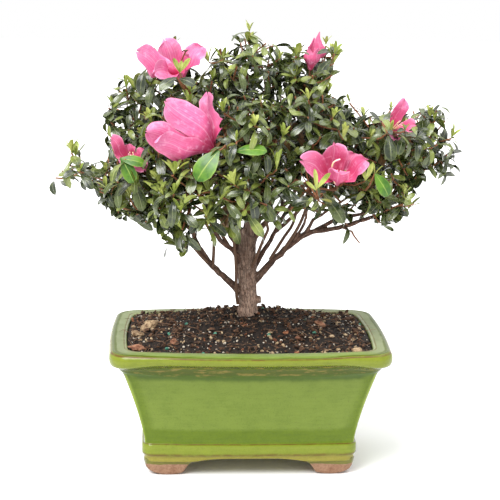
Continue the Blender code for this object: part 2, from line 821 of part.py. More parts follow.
def stalk_piece(start, end, radius):
    """A straight three-sided stalk."""
    bm = bmesh.new()
    loft(bm, Route([start, end], (radius, radius), spacing=1.0).rings(3))
    return bm


def whorl_targets(space, dice):
    """Where the whorls go: spread evenly round the space, the first on its outer side."""
    wanted = max(2, round(WHORLS_AT_30_MM * (space.reach / (30 * MM)) ** 2))
    swing = UP.rotation_difference((space.middle - CROWN_HEART).normalized())
    targets = []
    for i in range(wanted):
        height = 1 - 1.8 * (i + 0.1) / wanted
        flat = math.sqrt(1 - height * height)
        angle = i * GOLDEN_ANGLE + dice.uniform(-0.3, 0.3)
        way = swing @ Vector((flat * math.cos(angle), flat * math.sin(angle), height))
        for share in WHORL_SHARES:
            target = space.middle + way * space.reach * share
            if space.holds(target + way * 4 * MM):
                targets.append((target, way))
                break
    return targets


def grow_mass(limb, route, blockers):
    """Twigs that branch from one stem at the limb's tip, each to a whorl, all in one space."""
    space = Space(limb.mass)
    dice = random.Random(limb.mass)
    ahead = (route.points[-1] - route.points[-2]).normalized()
    foot = route.points[-1] + ahead * 1.1 * GAP
    hub = foot.lerp(space.middle, HUB_SHARE)
    neck = foot + ahead * NECK_SHARE * space.reach
    radii = (min(STEM_RADIUS, route.radii[-1]), TWIG_RADIUS * 1.2)
    bm = bmesh.new()
    loft(bm, Route([foot, neck, hub], radii, spacing=1.0).rings(4))
    base = add_object("mass_" + limb.mass, bm, "foliage")
    pieces = []
    foliage = []
    joints = [(neck, 0.0), (neck.lerp(hub, 0.5), 0.0), (hub, 0.0)]

    def clear(tree, points):
        """Whether a shape keeps to the space and touches no limb, no flower and no earlier leaf."""
        if not all(space.holds(point) for point in points):
            return False
        return not any(tree.overlap(other) for other in blockers + foliage)

    def keep(piece):
        """Adds a piece to what the mass is fused from."""
        pieces.append(add_object(f"{limb.mass}_{len(pieces)}", piece, "foliage"))

    for bloom in BLOOMS:
        if bloom.mass == limb.mass:
            facing = Vector(bloom.facing).normalized()
            depth = BLOOM_RADIUS * bloom.size * BLOOM_DEPTH_SHARE
            back = Vector(bloom.middle) * MM - facing * depth
            keep(stalk_piece(hub, back, TWIG_RADIUS * 1.1))
            keep(bloom_piece(bloom))
            joints += [(hub.lerp(back, share), 0.0) for share in (0.35, 0.7)]

    targets = whorl_targets(space, dice)
    for target, way in sorted(targets, key=lambda item: (item[0] - foot).length):
        start, travelled = min(joints, key=lambda item: (item[0] - target).length + 0.4 * item[1])
        trial = stalk_piece(start.lerp(target, 0.15), target, TWIG_RADIUS)
        points = [vert.co.copy() for vert in trial.verts]
        tree = BVHTree.FromBMesh(trial)
        trial.free()
        if clear(tree, points):
            axis = ((target - start).normalized() * 0.8 + way + UP * 0.3).normalized()
            sprig = Sprig(start, target, axis, dice.uniform(0, math.tau))
            foliage += sprig.grow_leaves(clear, dice)
            keep(sprig.bm)
            reached = travelled + (target - start).length
            joints.append((start.lerp(target, 0.6), reached * 0.6))
    fuse(base, pieces)


# Fusing


def shell_volume(faces):
    """The volume inside a shell of triangles, less than nothing where they face inwards."""
    total = 0.0
    for face in faces:
        a, b, c = (vert.co for vert in face.verts)
        total += a.dot(b.cross(c)) / 6
    return total


def keep_largest_shell(bm):
    """Deletes all but the shell that holds most, so loose scraps and sealed hollows go."""
    unseen = set(bm.faces)
    shells = []
    while unseen:
        stack = [unseen.pop()]
        shell = list(stack)
        while stack:
            for edge in stack.pop().edges:
                for face in edge.link_faces:
                    if face in unseen:
                        unseen.remove(face)
                        stack.append(face)
                        shell.append(face)
        shells.append(shell)
    shells.sort(key=shell_volume)
    spare = [face for shell in shells[:-1] for face in shell]
    bmesh.ops.delete(bm, geom=spare, context="FACES")
    loose = [vert for vert in bm.verts if not vert.link_faces]
    bmesh.ops.delete(bm, geom=loose, context="VERTS")


def united(base, pieces, solver):
    """The union of an object and others as one tidy triangle mesh, or None where it isn't closed."""
    collection = bpy.data.collections.new("pieces")
    for piece in pieces:
        collection.objects.link(piece)
    modifier = base.modifiers.new("union", "BOOLEAN")
    modifier.operation = "UNION"
    modifier.operand_type = "COLLECTION"
    modifier.solver = solver
    modifier.collection = collection
    bpy.context.view_layer.update()
    evaluated = base.evaluated_get(bpy.context.evaluated_depsgraph_get())
    bm = bmesh.new()
    bm.from_mesh(evaluated.to_mesh())
    evaluated.to_mesh_clear()
    base.modifiers.remove(modifier)
    bpy.data.collections.remove(collection)
    bmesh.ops.remove_doubles(bm, verts=bm.verts, dist=MERGE_DISTANCE)
    bmesh.ops.triangulate(bm, faces=bm.faces)
    bmesh.ops.dissolve_degenerate(bm, edges=bm.edges, dist=MERGE_DISTANCE)
    bmesh.ops.triangulate(bm, faces=bm.faces)
    keep_largest_shell(bm)
    if all(len(edge.link_faces) == 2 for edge in bm.edges):
        return bm
    bm.free()
    return None


def fuse(base, pieces):
    """Joins pieces to a base object by one union. Where that fails, one piece is left off."""
    choices = [pieces] + [pieces[:i] + pieces[i + 1 :] for i in reversed(range(len(pieces)))]
    unions = (united(base, *choice) for choice in itertools.product(choices, SOLVERS))
    bm = next(found for found in unions if found)
    bm.to_mesh(base.data)
    bm.free()
    for piece in pieces:
        bpy.data.objects.remove(piece, do_unlink=True)


def centre_outline():
    """Hangs every object on an empty, moved so that the whole outline is centred over the origin."""
    objects = [obj for obj in bpy.data.objects if obj.type == "MESH"]
    points = [vert.co for obj in objects for vert in obj.data.vertices]
    middle = []
    for axis in range(2):
        along = [point[axis] for point in points]
        middle.append((min(along) + max(along)) / 2)
    plant = bpy.data.objects.new("plant", None)
    bpy.context.scene.collection.objects.link(plant)
    plant.location = (-middle[0], -middle[1], 0)
    for obj in objects:
        obj.parent = plant


def main():
    """Builds the pot, the soil, the trunk, the limbs and the masses of foliage."""
    clear_scene()
    make_pot()
    for side_x, side_y in itertools.product((-1, 1), (-1, 1)):
        depth = "front" if side_y < 0 else "back"
        side = "left" if side_x < 0 else "right"
        make_foot(f"foot_{depth}_{side}", side_x, side_y)
    make_soil()
    routes = {"trunk": make_trunk()}
    for name, limb in LIMBS.items():
        make_limb(name, limb, routes)
    blockers = limb_blockers(routes) + [bloom_blocker(bloom) for bloom in BLOOMS]
    for name, limb in LIMBS.items():
        grow_mass(limb, routes[name], blockers)
    centre_outline()


main()
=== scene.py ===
"""An azalea bonsai in bloom, dressed for its pictures: glazed pot, soil, bark, leaves and flowers.

Sizes are in metres, +Z is up and the front of the tree faces -Y. A piece is modelled where the
CAD's own source has it, with the trunk close to X = Y = 0. When it is handed over it moves with
the CAD's offset, and up by as much as this pot is deeper than the CAD's.
"""

import json
import logging
import math
import random
from contextlib import contextmanager
from dataclasses import dataclass, field
from enum import Enum
from typing import Any, Iterable, Iterator, Mapping, Sequence

import bmesh
import bpy
import numpy as np
from mathutils import Euler, Matrix, Vector, noise

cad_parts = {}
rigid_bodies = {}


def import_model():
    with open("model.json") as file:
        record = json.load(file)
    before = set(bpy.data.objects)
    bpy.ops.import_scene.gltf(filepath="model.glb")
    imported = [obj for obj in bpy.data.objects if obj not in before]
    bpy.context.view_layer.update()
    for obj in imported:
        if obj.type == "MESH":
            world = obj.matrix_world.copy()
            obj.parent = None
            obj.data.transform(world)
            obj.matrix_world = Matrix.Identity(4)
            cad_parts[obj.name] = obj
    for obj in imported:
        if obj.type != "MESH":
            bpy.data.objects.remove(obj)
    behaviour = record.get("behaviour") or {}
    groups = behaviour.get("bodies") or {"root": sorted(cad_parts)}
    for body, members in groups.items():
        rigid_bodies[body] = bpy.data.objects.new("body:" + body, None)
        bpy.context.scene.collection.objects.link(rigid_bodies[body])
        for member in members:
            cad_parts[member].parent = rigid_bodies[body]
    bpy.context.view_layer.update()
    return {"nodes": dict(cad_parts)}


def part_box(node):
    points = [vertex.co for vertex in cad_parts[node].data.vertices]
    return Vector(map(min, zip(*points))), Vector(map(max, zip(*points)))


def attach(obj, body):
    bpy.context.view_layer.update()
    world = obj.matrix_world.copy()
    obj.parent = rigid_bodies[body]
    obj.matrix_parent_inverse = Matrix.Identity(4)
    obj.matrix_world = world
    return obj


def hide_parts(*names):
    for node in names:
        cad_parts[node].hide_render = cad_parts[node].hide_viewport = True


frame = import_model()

LOG = logging.getLogger("azalea")
MM = 0.001
UP = Vector((0, 0, 1))
GOLDEN_ANGLE = math.pi * (3 - math.sqrt(5))
Piece = bpy.types.Object
Material = bpy.types.Material
Dice = random.Random
Triple = tuple[float, float, float]
Colour = tuple[float, float, float, float]
Rows = list[list[int]]

# The crown's masses of foliage: the middle and the reach of each, in millimetres.
MASSES = {
    "left_arm": ((-116, -10, 211), 31),
    "left_low": ((-83, -22, 200), 32),
    "left_shoulder": ((-84, 2, 250), 31),
    "left_crown": ((-48, -4, 280), 34),
    "left_heart": ((-48, -36, 240), 34),
    "front_left": ((-42, -52, 202), 31),
    "low_left": ((-50, -10, 169), 18),
    "top": ((-2, 0, 288), 34),
    "centre_front": ((-2, -48, 246), 34),
    "front_low": ((-4, -58, 206), 30),
    "top_right": ((49, 0, 281), 32),
    "right_crown": ((42, -28, 248), 34),
    "front_right": ((40, -54, 208), 32),
    "right_shoulder": ((86, -2, 240), 33),
    "right_far": ((125, 2, 236), 33),
    "right_arm": ((113, -18, 202), 31),
    "right_low": ((77, -20, 200), 30),
    "low_right": ((80, -17, 164), 15),
    "back_left": ((-72, 46, 216), 36),
    "back_mid_left": ((-28, 54, 250), 37),
    "back_centre": ((6, 64, 210), 36),
    "back_mid_right": ((46, 54, 246), 37),
    "back_right": ((88, 46, 214), 36),
}


@dataclass(frozen=True)
class Limb:
    """A tapering limb and the mass of foliage that it carries.

    It leaves its parent at a share of the parent's length, and passes through its bends, in
    millimetres, to its tip. Its radii, in millimetres, are those of its foot and its tip.
    """

    parent: str
    start: float
    bends: tuple[Triple, ...]
    radii: tuple[float, float]
    mass: str
    shift: Triple = (0, 0, 0)


LIMBS = {
    "bough_left_low": Limb(
        "trunk", 0.184, ((-22.7, 0, 139), (-29.3, -2, 146), (-39, -8, 164), (-43, -24, 184)),
        (3.1, 1.8), "front_left",
    ),
    "bough_left_side": Limb(
        "bough_left_low", 0.78, ((-48, -12, 176), (-62, -16, 187)), (1.5, 1.2), "left_low"
    ),
    "bough_left_arm": Limb(
        "bough_left_side", 0.55, ((-70, -6, 190), (-98, -10, 204)), (1.2, 1.0), "left_arm"
    ),
    "twig_low_left": Limb(
        "bough_left_low", 0.42, ((-38, -5, 155), (-42, -8, 160)), (1.0, 0.9), "low_left"
    ),
    "bough_left_mid": Limb(
        "trunk", 0.497, ((-10, 3, 152), (-22.7, -5, 165.4), (-32, -14, 190), (-40, -24, 216)),
        (2.4, 1.4), "left_heart",
    ),
    "bough_left_back": Limb(
        "trunk", 0.531, ((-12, 12, 162), (-24, 20, 182), (-50, 34, 200)), (1.9, 1.3), "back_left"
    ),
    "bough_right_low": Limb(
        "trunk", 0.329, ((25, 2, 151), (43, -4, 166.5), (67, -8, 172), (97, -13, 183)),
        (3.2, 1.6), "right_arm",
    ),
    "bough_right_upper": Limb(
        "bough_right_low", 0.52, ((67, -3, 178), (91, -2, 184), (106, 0, 199), (115, 2, 212)),
        (1.7, 1.2), "right_far",
    ),
    "twig_low_right": Limb(
        "bough_right_low", 0.72, ((74, -13, 171), (76, -14, 170)), (0.9, 0.8), "low_right"
    ),
    "bough_right_rise": Limb(
        "bough_right_low", 0.46, ((48, -9, 178), (60, -14, 187)), (1.5, 1.2), "right_low"
    ),
    "bough_right_thin": Limb(
        "bough_right_low", 0.33, ((41, -8, 174), (42, -30, 192)), (1.3, 1.1), "front_right"
    ),
    "bough_right_mid": Limb(
        "trunk", 0.441, ((18, 14, 159), (33, 20, 183), (48, 28, 190), (66, 36, 200)),
        (2.3, 1.3), "back_right",
    ),
    "bough_right_fork": Limb(
        "bough_right_mid", 0.30, ((37, 10, 180), (54, 6, 200), (69, 4, 218)),
        (1.7, 1.2), "right_shoulder",
    ),
    "bough_back": Limb("trunk", 0.597, ((10, 26, 168), (12, 48, 192)), (2.0, 1.4), "back_centre"),
    "bough_right_high": Limb(
        "trunk", 0.821, ((13, 6, 173), (32, 0, 193), (40, -14, 222)), (2.6, 1.4), "right_crown"
    ),
    "bough_back_right": Limb(
        "bough_right_high", 0.40, ((30, 22, 208), (42, 38, 226)), (1.6, 1.2), "back_mid_right"
    ),
    "leader_right": Limb(
        "trunk", 1.0, ((5, 9, 193), (3, 7, 225), (1, 3, 262)), (2.6, 1.4), "top", (1.6, 0.8, 0)
    ),
    "bough_back_left": Limb(
        "leader_right", 0.28, ((-8, 30, 220), (-20, 42, 232)), (1.7, 1.3), "back_mid_left"
    ),
    "bough_top_right": Limb(
        "leader_right", 0.40, ((20, 5, 236), (38, 2, 262)), (1.7, 1.2), "top_right"
    ),
    "bough_front": Limb(
        "leader_right", 0.22, ((4, -10, 210), (0, -28, 224)), (1.7, 1.2), "centre_front"
    ),
    "bough_front_low": Limb(
        "leader_right", 0.12, ((2, -14, 190), (-2, -40, 196)), (1.4, 1.1), "front_low"
    ),
    "leader_left": Limb(
        "trunk", 0.81, ((-12.5, 6, 182), (-20, 3, 214), (-38, -2, 252)), (2.6, 1.3), "left_crown"
    ),
    "bough_left_shoulder": Limb(
        "leader_left", 0.42, ((-42, 5, 224), (-66, 3, 236)), (1.5, 1.2), "left_shoulder"
    ),
}


@dataclass(frozen=True)
class Petal:
    """One petal: its tip and width in millimetres, how much it waves, and the way that it faces.

    A petal without a face of its own looks towards the flower's middle line.
    """

    tip: Triple
    width: float
    wave: float = 1.0
    face: Triple | None = None


@dataclass(frozen=True)
class Bloom:
    """A flower: the foot of its tube in millimetres, its petals, its style and how deep its pink is."""

    name: str
    foot: Triple
    petals: tuple[Petal, ...]
    style: tuple[Triple, ...] = ()
    flare: float = 0.5
    deep: float = 0.0


BLOOMS = (
    Bloom(
        "upper_left", (-48, -18, 279),
        (
            Petal((-80, -30, 301), 18, 1.0, (0.2, -1, 0.35)),
            Petal((-61, -12, 308), 19, 1.0, (0.1, -1, 0.1)),
            Petal((-34, -12, 304), 16, 1.5, (-0.6, -0.9, 0.3)),
            Petal((-44, 14, 300), 16),
            Petal((-68, -40, 287), 16, 1.0, (0.1, -1, 0.2)),
        ),
        flare=0.6, deep=0.05,
    ),
    Bloom(
        "big_left", (-25, -48, 232),
        (
            Petal((-73, -70, 249), 21, 1.6, (0.1, -1, 0.1)),
            Petal((-60, -58, 268), 21, 1.4, (0.15, -1, 0.25)),
            Petal((-31, -42, 273), 10, 2.0, (0.2, -1, 0)),
            Petal((-67, -78, 242), 16, 1.6, (0.1, -0.9, -0.2)),
            Petal((-50, -26, 258), 20),
        ),
        flare=0.7, deep=0.2,
    ),
    Bloom(
        "front_right", (60, -50, 210),
        (
            Petal((57, -58, 240), 19, 1.2, (0, -1, 0.2)),
            Petal((79, -66, 230), 15, 1.4, (-0.2, -0.8, 0.6)),
            Petal((58, -84, 224), 15, 1.2, (0, -0.6, 0.8)),
            Petal((33, -74, 230), 18, 1.0, (0.4, -1, 0.1)),
            Petal((73, -46, 232), 17),
        ),
        ((57, -62, 214), (54, -74, 224), (55, -78, 230), (59, -80, 232)),
        flare=0.6, deep=0.6,
    ),
    Bloom(
        "top_bud", (44, -6, 287),
        (
            Petal((50, -8, 314), 10, 0.4, (-0.2, -1, 0.1)),
            Petal((47, 0, 310), 9, 0.4),
            Petal((42, -10, 304), 8, 0.4, (-0.5, -1, 0)),
            Petal((42, -3, 301), 8, 0.4),
            Petal((49, -11, 303), 8, 0.4, (0.5, -1, 0)),
        ),
        flare=0.25, deep=0.5,
    ),
    Bloom(
        "right_shoulder", (101, -18, 244),
        (
            Petal((111, -20, 268), 10, 0.6, (0.2, -1, 0.1)),
            Petal((119, -24, 250), 11),
            Petal((113, -34, 245), 12),
            Petal((94, -8, 250), 10),
            Petal((102, -34, 240), 11),
        ),
        deep=0.45,
    ),
    Bloom(
        "left_side", (-84, -36, 220),
        (
            Petal((-98, -42, 242), 10, 0.6, (0.3, -1, 0)),
            Petal((-87, -34, 236), 9),
            Petal((-74, -38, 232), 12),
            Petal((-74, -50, 220), 12),
            Petal((-92, -46, 226), 9),
        ),
        deep=0.7,
    ),
)

# Thin bare shoots that stand between the boughs, each through its points, in millimetres.
BARE_SHOOTS = (
    ((-6.5, 3, 112), (-7.8, 1, 121.8), (-8.2, 0, 141), (-9.7, -2, 157.2), (-12, -2, 172)),
    ((-29.4, -5, 145.2), (-34.5, -6, 150.7), (-39.7, -8, 157.1)),
    ((-25.5, -2, 141), (-24.9, -4, 156.2), (-25.6, -6, 164.9), (-31, -8, 175)),
    ((4, 3, 140), (11.3, -3, 161), (14.9, -5, 170.3), (12.6, -6, 176.5)),
    ((27, -1, 154), (36.1, -8, 170.7), (41, -10, 182.9), (44, -16, 196)),
    ((17, 2, 146), (27.2, 2, 162.9), (34, 4, 173.1), (38, 6, 190)),
    ((-14, 2, 157), (-22.7, -6, 172.3), (-26.4, -10, 183.4), (-24, -16, 198)),
)


@dataclass(frozen=True)
class LoneLeaf:
    """A leaf that stands out: its green, its stalk's foot and tip in millimetres, and its face."""

    tone: str
    foot: Triple
    tip: Triple
    face: Triple
    breadth: float = 1.0


LONE_LEAVES = (
    LoneLeaf("BRIGHT", (-23, -66, 236), (-38.5, -75, 220), (-0.3, -1, 0.4), 1.45),
    LoneLeaf("BRIGHT", (-13, -74, 236), (6, -80, 241), (0, -0.7, 0.8), 1.1),
    LoneLeaf("BRIGHT", (87, -48, 218), (97, -54, 205), (0.2, -1, 0.4), 1.3),
    LoneLeaf("BRIGHT", (-92, -52, 228), (-76, -58, 228), (0, -0.8, 0.7), 1.1),
    LoneLeaf("BRIGHT", (-91, -52, 229), (-82, -60, 215), (0.3, -1, 0.2), 1.2),
    LoneLeaf("DARK", (49, -64, 206), (64, -72, 190), (0.3, -1, 0.5), 0.95),
    LoneLeaf("DARK", (1, -68, 203), (15, -76, 191), (0.2, -1, 0.4), 1.0),
    LoneLeaf("GROWN", (-79, -10, 270), (-78.8, -13, 283), (0.2, -1, 0.2), 1.44),
    LoneLeaf("GROWN", (-70.4, -10, 273), (-71.6, -13, 285.5), (-0.2, -1, 0.2), 1.44),
    LoneLeaf("SHOOT", (-81, -10, 271), (-89.3, -14, 285.6), (0.3, -1, 0.4), 0.9),
    LoneLeaf("SHOOT", (-50.2, -36, 286.7), (-55, -41, 298.7), (0.3, -1, 0.3), 1.2),
    LoneLeaf("SHOOT", (-50.2, -36, 286.7), (-42.2, -41, 298.7), (-0.3, -1, 0.3), 1.2),
    LoneLeaf("SHOOT", (-50.2, -38, 286.7), (-48.8, -46, 296.7), (0, -1, 0.5), 1.2),
    LoneLeaf("DARK", (-50.4, -38, 282.7), (-41.4, -46, 281.7), (0, -0.8, 0.8), 1.4),
    LoneLeaf("DARK", (-52.4, -38, 283.7), (-63.4, -46, 278.7), (0, -0.8, 0.8), 1.2),
    LoneLeaf("SHOOT", (43.3, -78, 211), (53, -85, 225), (-0.3, -1, 0.3), 0.98),
    LoneLeaf("SHOOT", (43.3, -78, 210), (41.4, -84, 228), (0.3, -1, 0), 0.83),
    LoneLeaf("SHOOT", (43.3, -78, 210), (35, -84, 218), (0.3, -1, 0.3), 0.98),
    LoneLeaf("SHOOT", (79.3, -58, 214), (84, -64, 229), (0.3, -1, 0.2), 1.12),
    LoneLeaf("SHOOT", (79.3, -58, 214), (76.5, -62, 226), (0, -1, 0.4), 1.05),
)


@dataclass(frozen=True)
class LoneTuft:
    """A tuft of young leaves that stands out: its foot, its leaves' count and length, its lean."""

    foot: Triple
    count: int
    length: float
    lean: float = 0.45


LONE_TUFTS = (
    LoneTuft((-64, -60, 203), 8, 15, 0.8),
    LoneTuft((-54, -66, 219), 6, 13, 0.6),
    LoneTuft((-5, -66, 206), 5, 13),
    LoneTuft((116, -20, 188), 6, 13, 0.7),
    LoneTuft((112, -24, 199), 4, 11, 0.6),
    LoneTuft((-125, -10, 224), 5, 12, 0.5),
    LoneTuft((61, -6, 292), 6, 15, 0.4),
    LoneTuft((34, -6, 294), 5, 13, 0.5),
    LoneTuft((-1, 0, 306), 5, 11, 0.9),
    LoneTuft((-19, -2, 291), 5, 13, 0.4),
    LoneTuft((64, -50, 242), 3, 12, 0.16),
    LoneTuft((133, -2, 251), 3, 12, 0.16),
    LoneTuft((99, -36, 245), 3, 11, 0.2),
    LoneTuft((16, -74, 224), 4, 15, 0.2),
    LoneTuft((-4, -60, 246), 3, 14, 0.14),
)

# Whorls at the ends of single twigs, in millimetres.
LONE_WHORLS = (
    (25.3, -8, 286), (144, -6, 212), (-85.4, -6, 275), (33.9, -8, 297), (-29.4, -10, 292), (133, -6, 254),
    (97, -24, 178), (3, -6, 303), (97, -26, 210), (146, -6, 221), (71, -24, 177), (-74, -8, 292),
    (43, -10, 283), (-66, -12, 281), (35, -62, 207), (14.8, -64, 188), (97, -46, 248), (108, -44, 247),
    (118, -36, 243), (-88, -54, 228), (-82, -52, 214), (-98, -6, 259),
)


def shade(red: int, green: int, blue: int) -> Colour:
    """A colour picked on a screen, from 0 to 255 a channel, as the linear colour of a shader.

    Args:
        red: The red channel.
        green: The green channel.
        blue: The blue channel.

    Returns:
        The linear colour, with full alpha.
    """
    parts = []
    for channel in (red, green, blue):
        value = channel / 255
        parts.append(value / 12.92 if value <= 0.04045 else ((value + 0.055) / 1.055) ** 2.4)
    return (parts[0], parts[1], parts[2], 1.0)


def smooth(value: float) -> float:
    """A value held between 0 and 1 and eased at both ends."""
    held = min(1.0, max(0.0, value))
    return held * held * (3 - 2 * held)


def mm(point: Sequence[float]) -> Vector:
    """A point that is given in millimetres."""
    return Vector(point) * MM


def spoke(axis: Vector, angle: float) -> Vector:
    """The way straight out from an axis, at an angle round it."""
    across = axis.orthogonal().normalized()
    return across * math.cos(angle) + axis.cross(across) * math.sin(angle)


def any_way(dice: Dice, rise: float = 0.0) -> Vector:
    """A way and a reach left to chance, with a bias upwards."""
    return Vector((dice.gauss(0, 1), dice.gauss(0, 1), dice.gauss(rise, 1)))


# Shading


class Socket:
    """One output of a node. As a number it takes part in expressions, which add Math nodes."""

    def __init__(self, graph: "Graph", link: bpy.types.NodeSocket) -> None:
        """Remembers the graph and the output."""
        self.graph = graph
        self.link = link

    def maths(self, operation: str, *values: "Socket | float") -> "Socket":
        """The result of one Math node, given its inputs in order."""
        return self.graph.node("Math", {"operation": operation}, dict(enumerate(values)))

    def __add__(self, other: "Socket | float") -> "Socket":
        """This and another, added."""
        return self.maths("ADD", self, other)

    def __radd__(self, other: float) -> "Socket":
        """A number and this, added."""
        return self.maths("ADD", other, self)

    def __sub__(self, other: "Socket | float") -> "Socket":
        """This less another."""
        return self.maths("SUBTRACT", self, other)

    def __rsub__(self, other: float) -> "Socket":
        """A number less this."""
        return self.maths("SUBTRACT", other, self)

    def __mul__(self, other: "Socket | float") -> "Socket":
        """This times another."""
        return self.maths("MULTIPLY", self, other)

    def __rmul__(self, other: float) -> "Socket":
        """A number times this."""
        return self.maths("MULTIPLY", other, self)

    def __truediv__(self, other: "Socket | float") -> "Socket":
        """This divided by another."""
        return self.maths("DIVIDE", self, other)

    def away_from(self, centre: float) -> "Socket":
        """How far this is from a number, either way."""
        return self.maths("ABSOLUTE", self - centre)

    def step(self, low: float, high: float) -> "Socket":
        """Rises smoothly from 0 at one value to 1 at another."""
        settings = {"interpolation_type": "SMOOTHSTEP"}
        return self.graph.node("MapRange", settings, {"Value": self, 1: low, 2: high})

    def between(self, low: float, low_end: float, high: float, high_end: float) -> "Socket":
        """Rises from 0 to 1 over the first two values and falls to 0 again over the others."""
        return self.step(low, low_end) * (1 - self.step(high, high_end))


class Graph:
    """A material's nodes while they are being wired."""

    def __init__(self, name: str, **constants: float | Colour) -> None:
        """Makes a Principled material and sets the shader's own constants.

        Args:
            name: The material's name.
            constants: Socket names, with _ for a space, and their constant values.
        """
        self.material = bpy.data.materials.new(name)
        self.material.use_nodes = True
        self.tree = self.material.node_tree
        self.shader = self.tree.nodes["Principled BSDF"]
        for socket, value in constants.items():
            self.shader.inputs[socket.replace("_", " ")].default_value = value

    def node(
        self,
        kind: str,
        settings: Mapping[str, Any] | None = None,
        inputs: Mapping[str | int, Any] | None = None,
        output: str | int = 0,
    ) -> Socket:
        """Adds a node.

        Args:
            kind: The node's type, without its ShaderNode prefix.
            settings: Its own settings, set first. The stops of a ramp are pairs of place and colour.
            inputs: Values, or outputs to link, by the name or number of the input.
            output: The name or number of the output that is wanted.

        Returns:
            That output.
        """
        added = self.tree.nodes.new("ShaderNode" + kind)
        for name, value in (settings or {}).items():
            if name == "stops":
                elements = added.color_ramp.elements
                while len(elements) < len(value):
                    elements.new(1.0)
                for element, (place, colour) in zip(elements, value):
                    element.position = place
                    element.color = colour
            else:
                setattr(added, name, value)
        for name, value in (inputs or {}).items():
            if isinstance(value, Socket):
                self.tree.links.new(value.link, added.inputs[name])
            else:
                added.inputs[name].default_value = value
        return Socket(self, added.outputs[output])

    def place(self) -> Socket:
        """The point on the piece, in metres."""
        return self.node("TexCoord", output="Object")

    def surface_map(self) -> Socket:
        """The point on the piece's own UV map."""
        return self.node("UVMap", {"uv_map": "UVMap"})

    def attribute(self, name: str, output: str = "Fac") -> Socket:
        """A value that the piece holds at each of its points."""
        return self.node("Attribute", {"attribute_name": name}, output=output)

    def part(self, vector: Socket, axis: str) -> Socket:
        """One coordinate of a vector."""
        return self.node("SeparateXYZ", inputs={0: vector}, output=axis)

    def noise(
        self, vector: Socket, size: float | Triple, detail: float = 2.0, rough: float = 0.5
    ) -> Socket:
        """Cloudy noise, about 0.5.

        Args:
            vector: Where it is read.
            size: The size of its clouds in the vector's own unit, or one along each axis.
            detail: How many finer layers it has.
            rough: How strong the finer layers are.

        Returns:
            The noise.
        """
        if isinstance(size, tuple):
            scale = tuple(1 / side for side in size)
            vector = self.node("VectorMath", {"operation": "MULTIPLY"}, {0: vector, 1: scale})
            size = 1.0
        inputs = {"Vector": vector, "Scale": 1 / size, "Detail": detail, "Roughness": rough}
        return self.node("TexNoise", inputs=inputs)

    def cells(self, vector: Socket, size: float) -> Socket:
        """How far it is to the middle of the nearest of a pattern of cells."""
        return self.node("TexVoronoi", inputs={"Vector": vector, "Scale": 1 / size}, output="Distance")

    def ramp(self, value: Socket, stops: Sequence[tuple[float, Colour]]) -> Socket:
        """The colour that a value from 0 to 1 has on a ramp of places and colours."""
        return self.node("ValToRGB", {"stops": stops}, {0: value})

    def mix(
        self, share: Socket | float, first: Socket | Colour, second: Socket | Colour, blend: str = "MIX"
    ) -> Socket:
        """Two colours blended, with this share of the second."""
        settings = {"data_type": "RGBA", "blend_type": blend, "clamp_factor": True}
        return self.node("Mix", settings, {0: share, 6: first, 7: second}, 2)

    def tinted(self, share: Socket | float, first: Socket | Colour, second: Socket | Colour) -> Socket:
        """A colour multiplied by another, this strongly."""
        return self.mix(share, first, second, "MULTIPLY")

    def relief(self, height: Socket, depth: float, strength: float) -> None:
        """Bumps the shader's normal by a height, of which 1 stands for a depth in metres."""
        bump = self.node("Bump", inputs={"Strength": strength, "Distance": depth, "Height": height})
        self.feed("Normal", bump)

    def feed(self, socket: str, value: Socket) -> None:
        """Links an output to one of the shader's sockets."""
        self.tree.links.new(value.link, self.shader.inputs[socket])


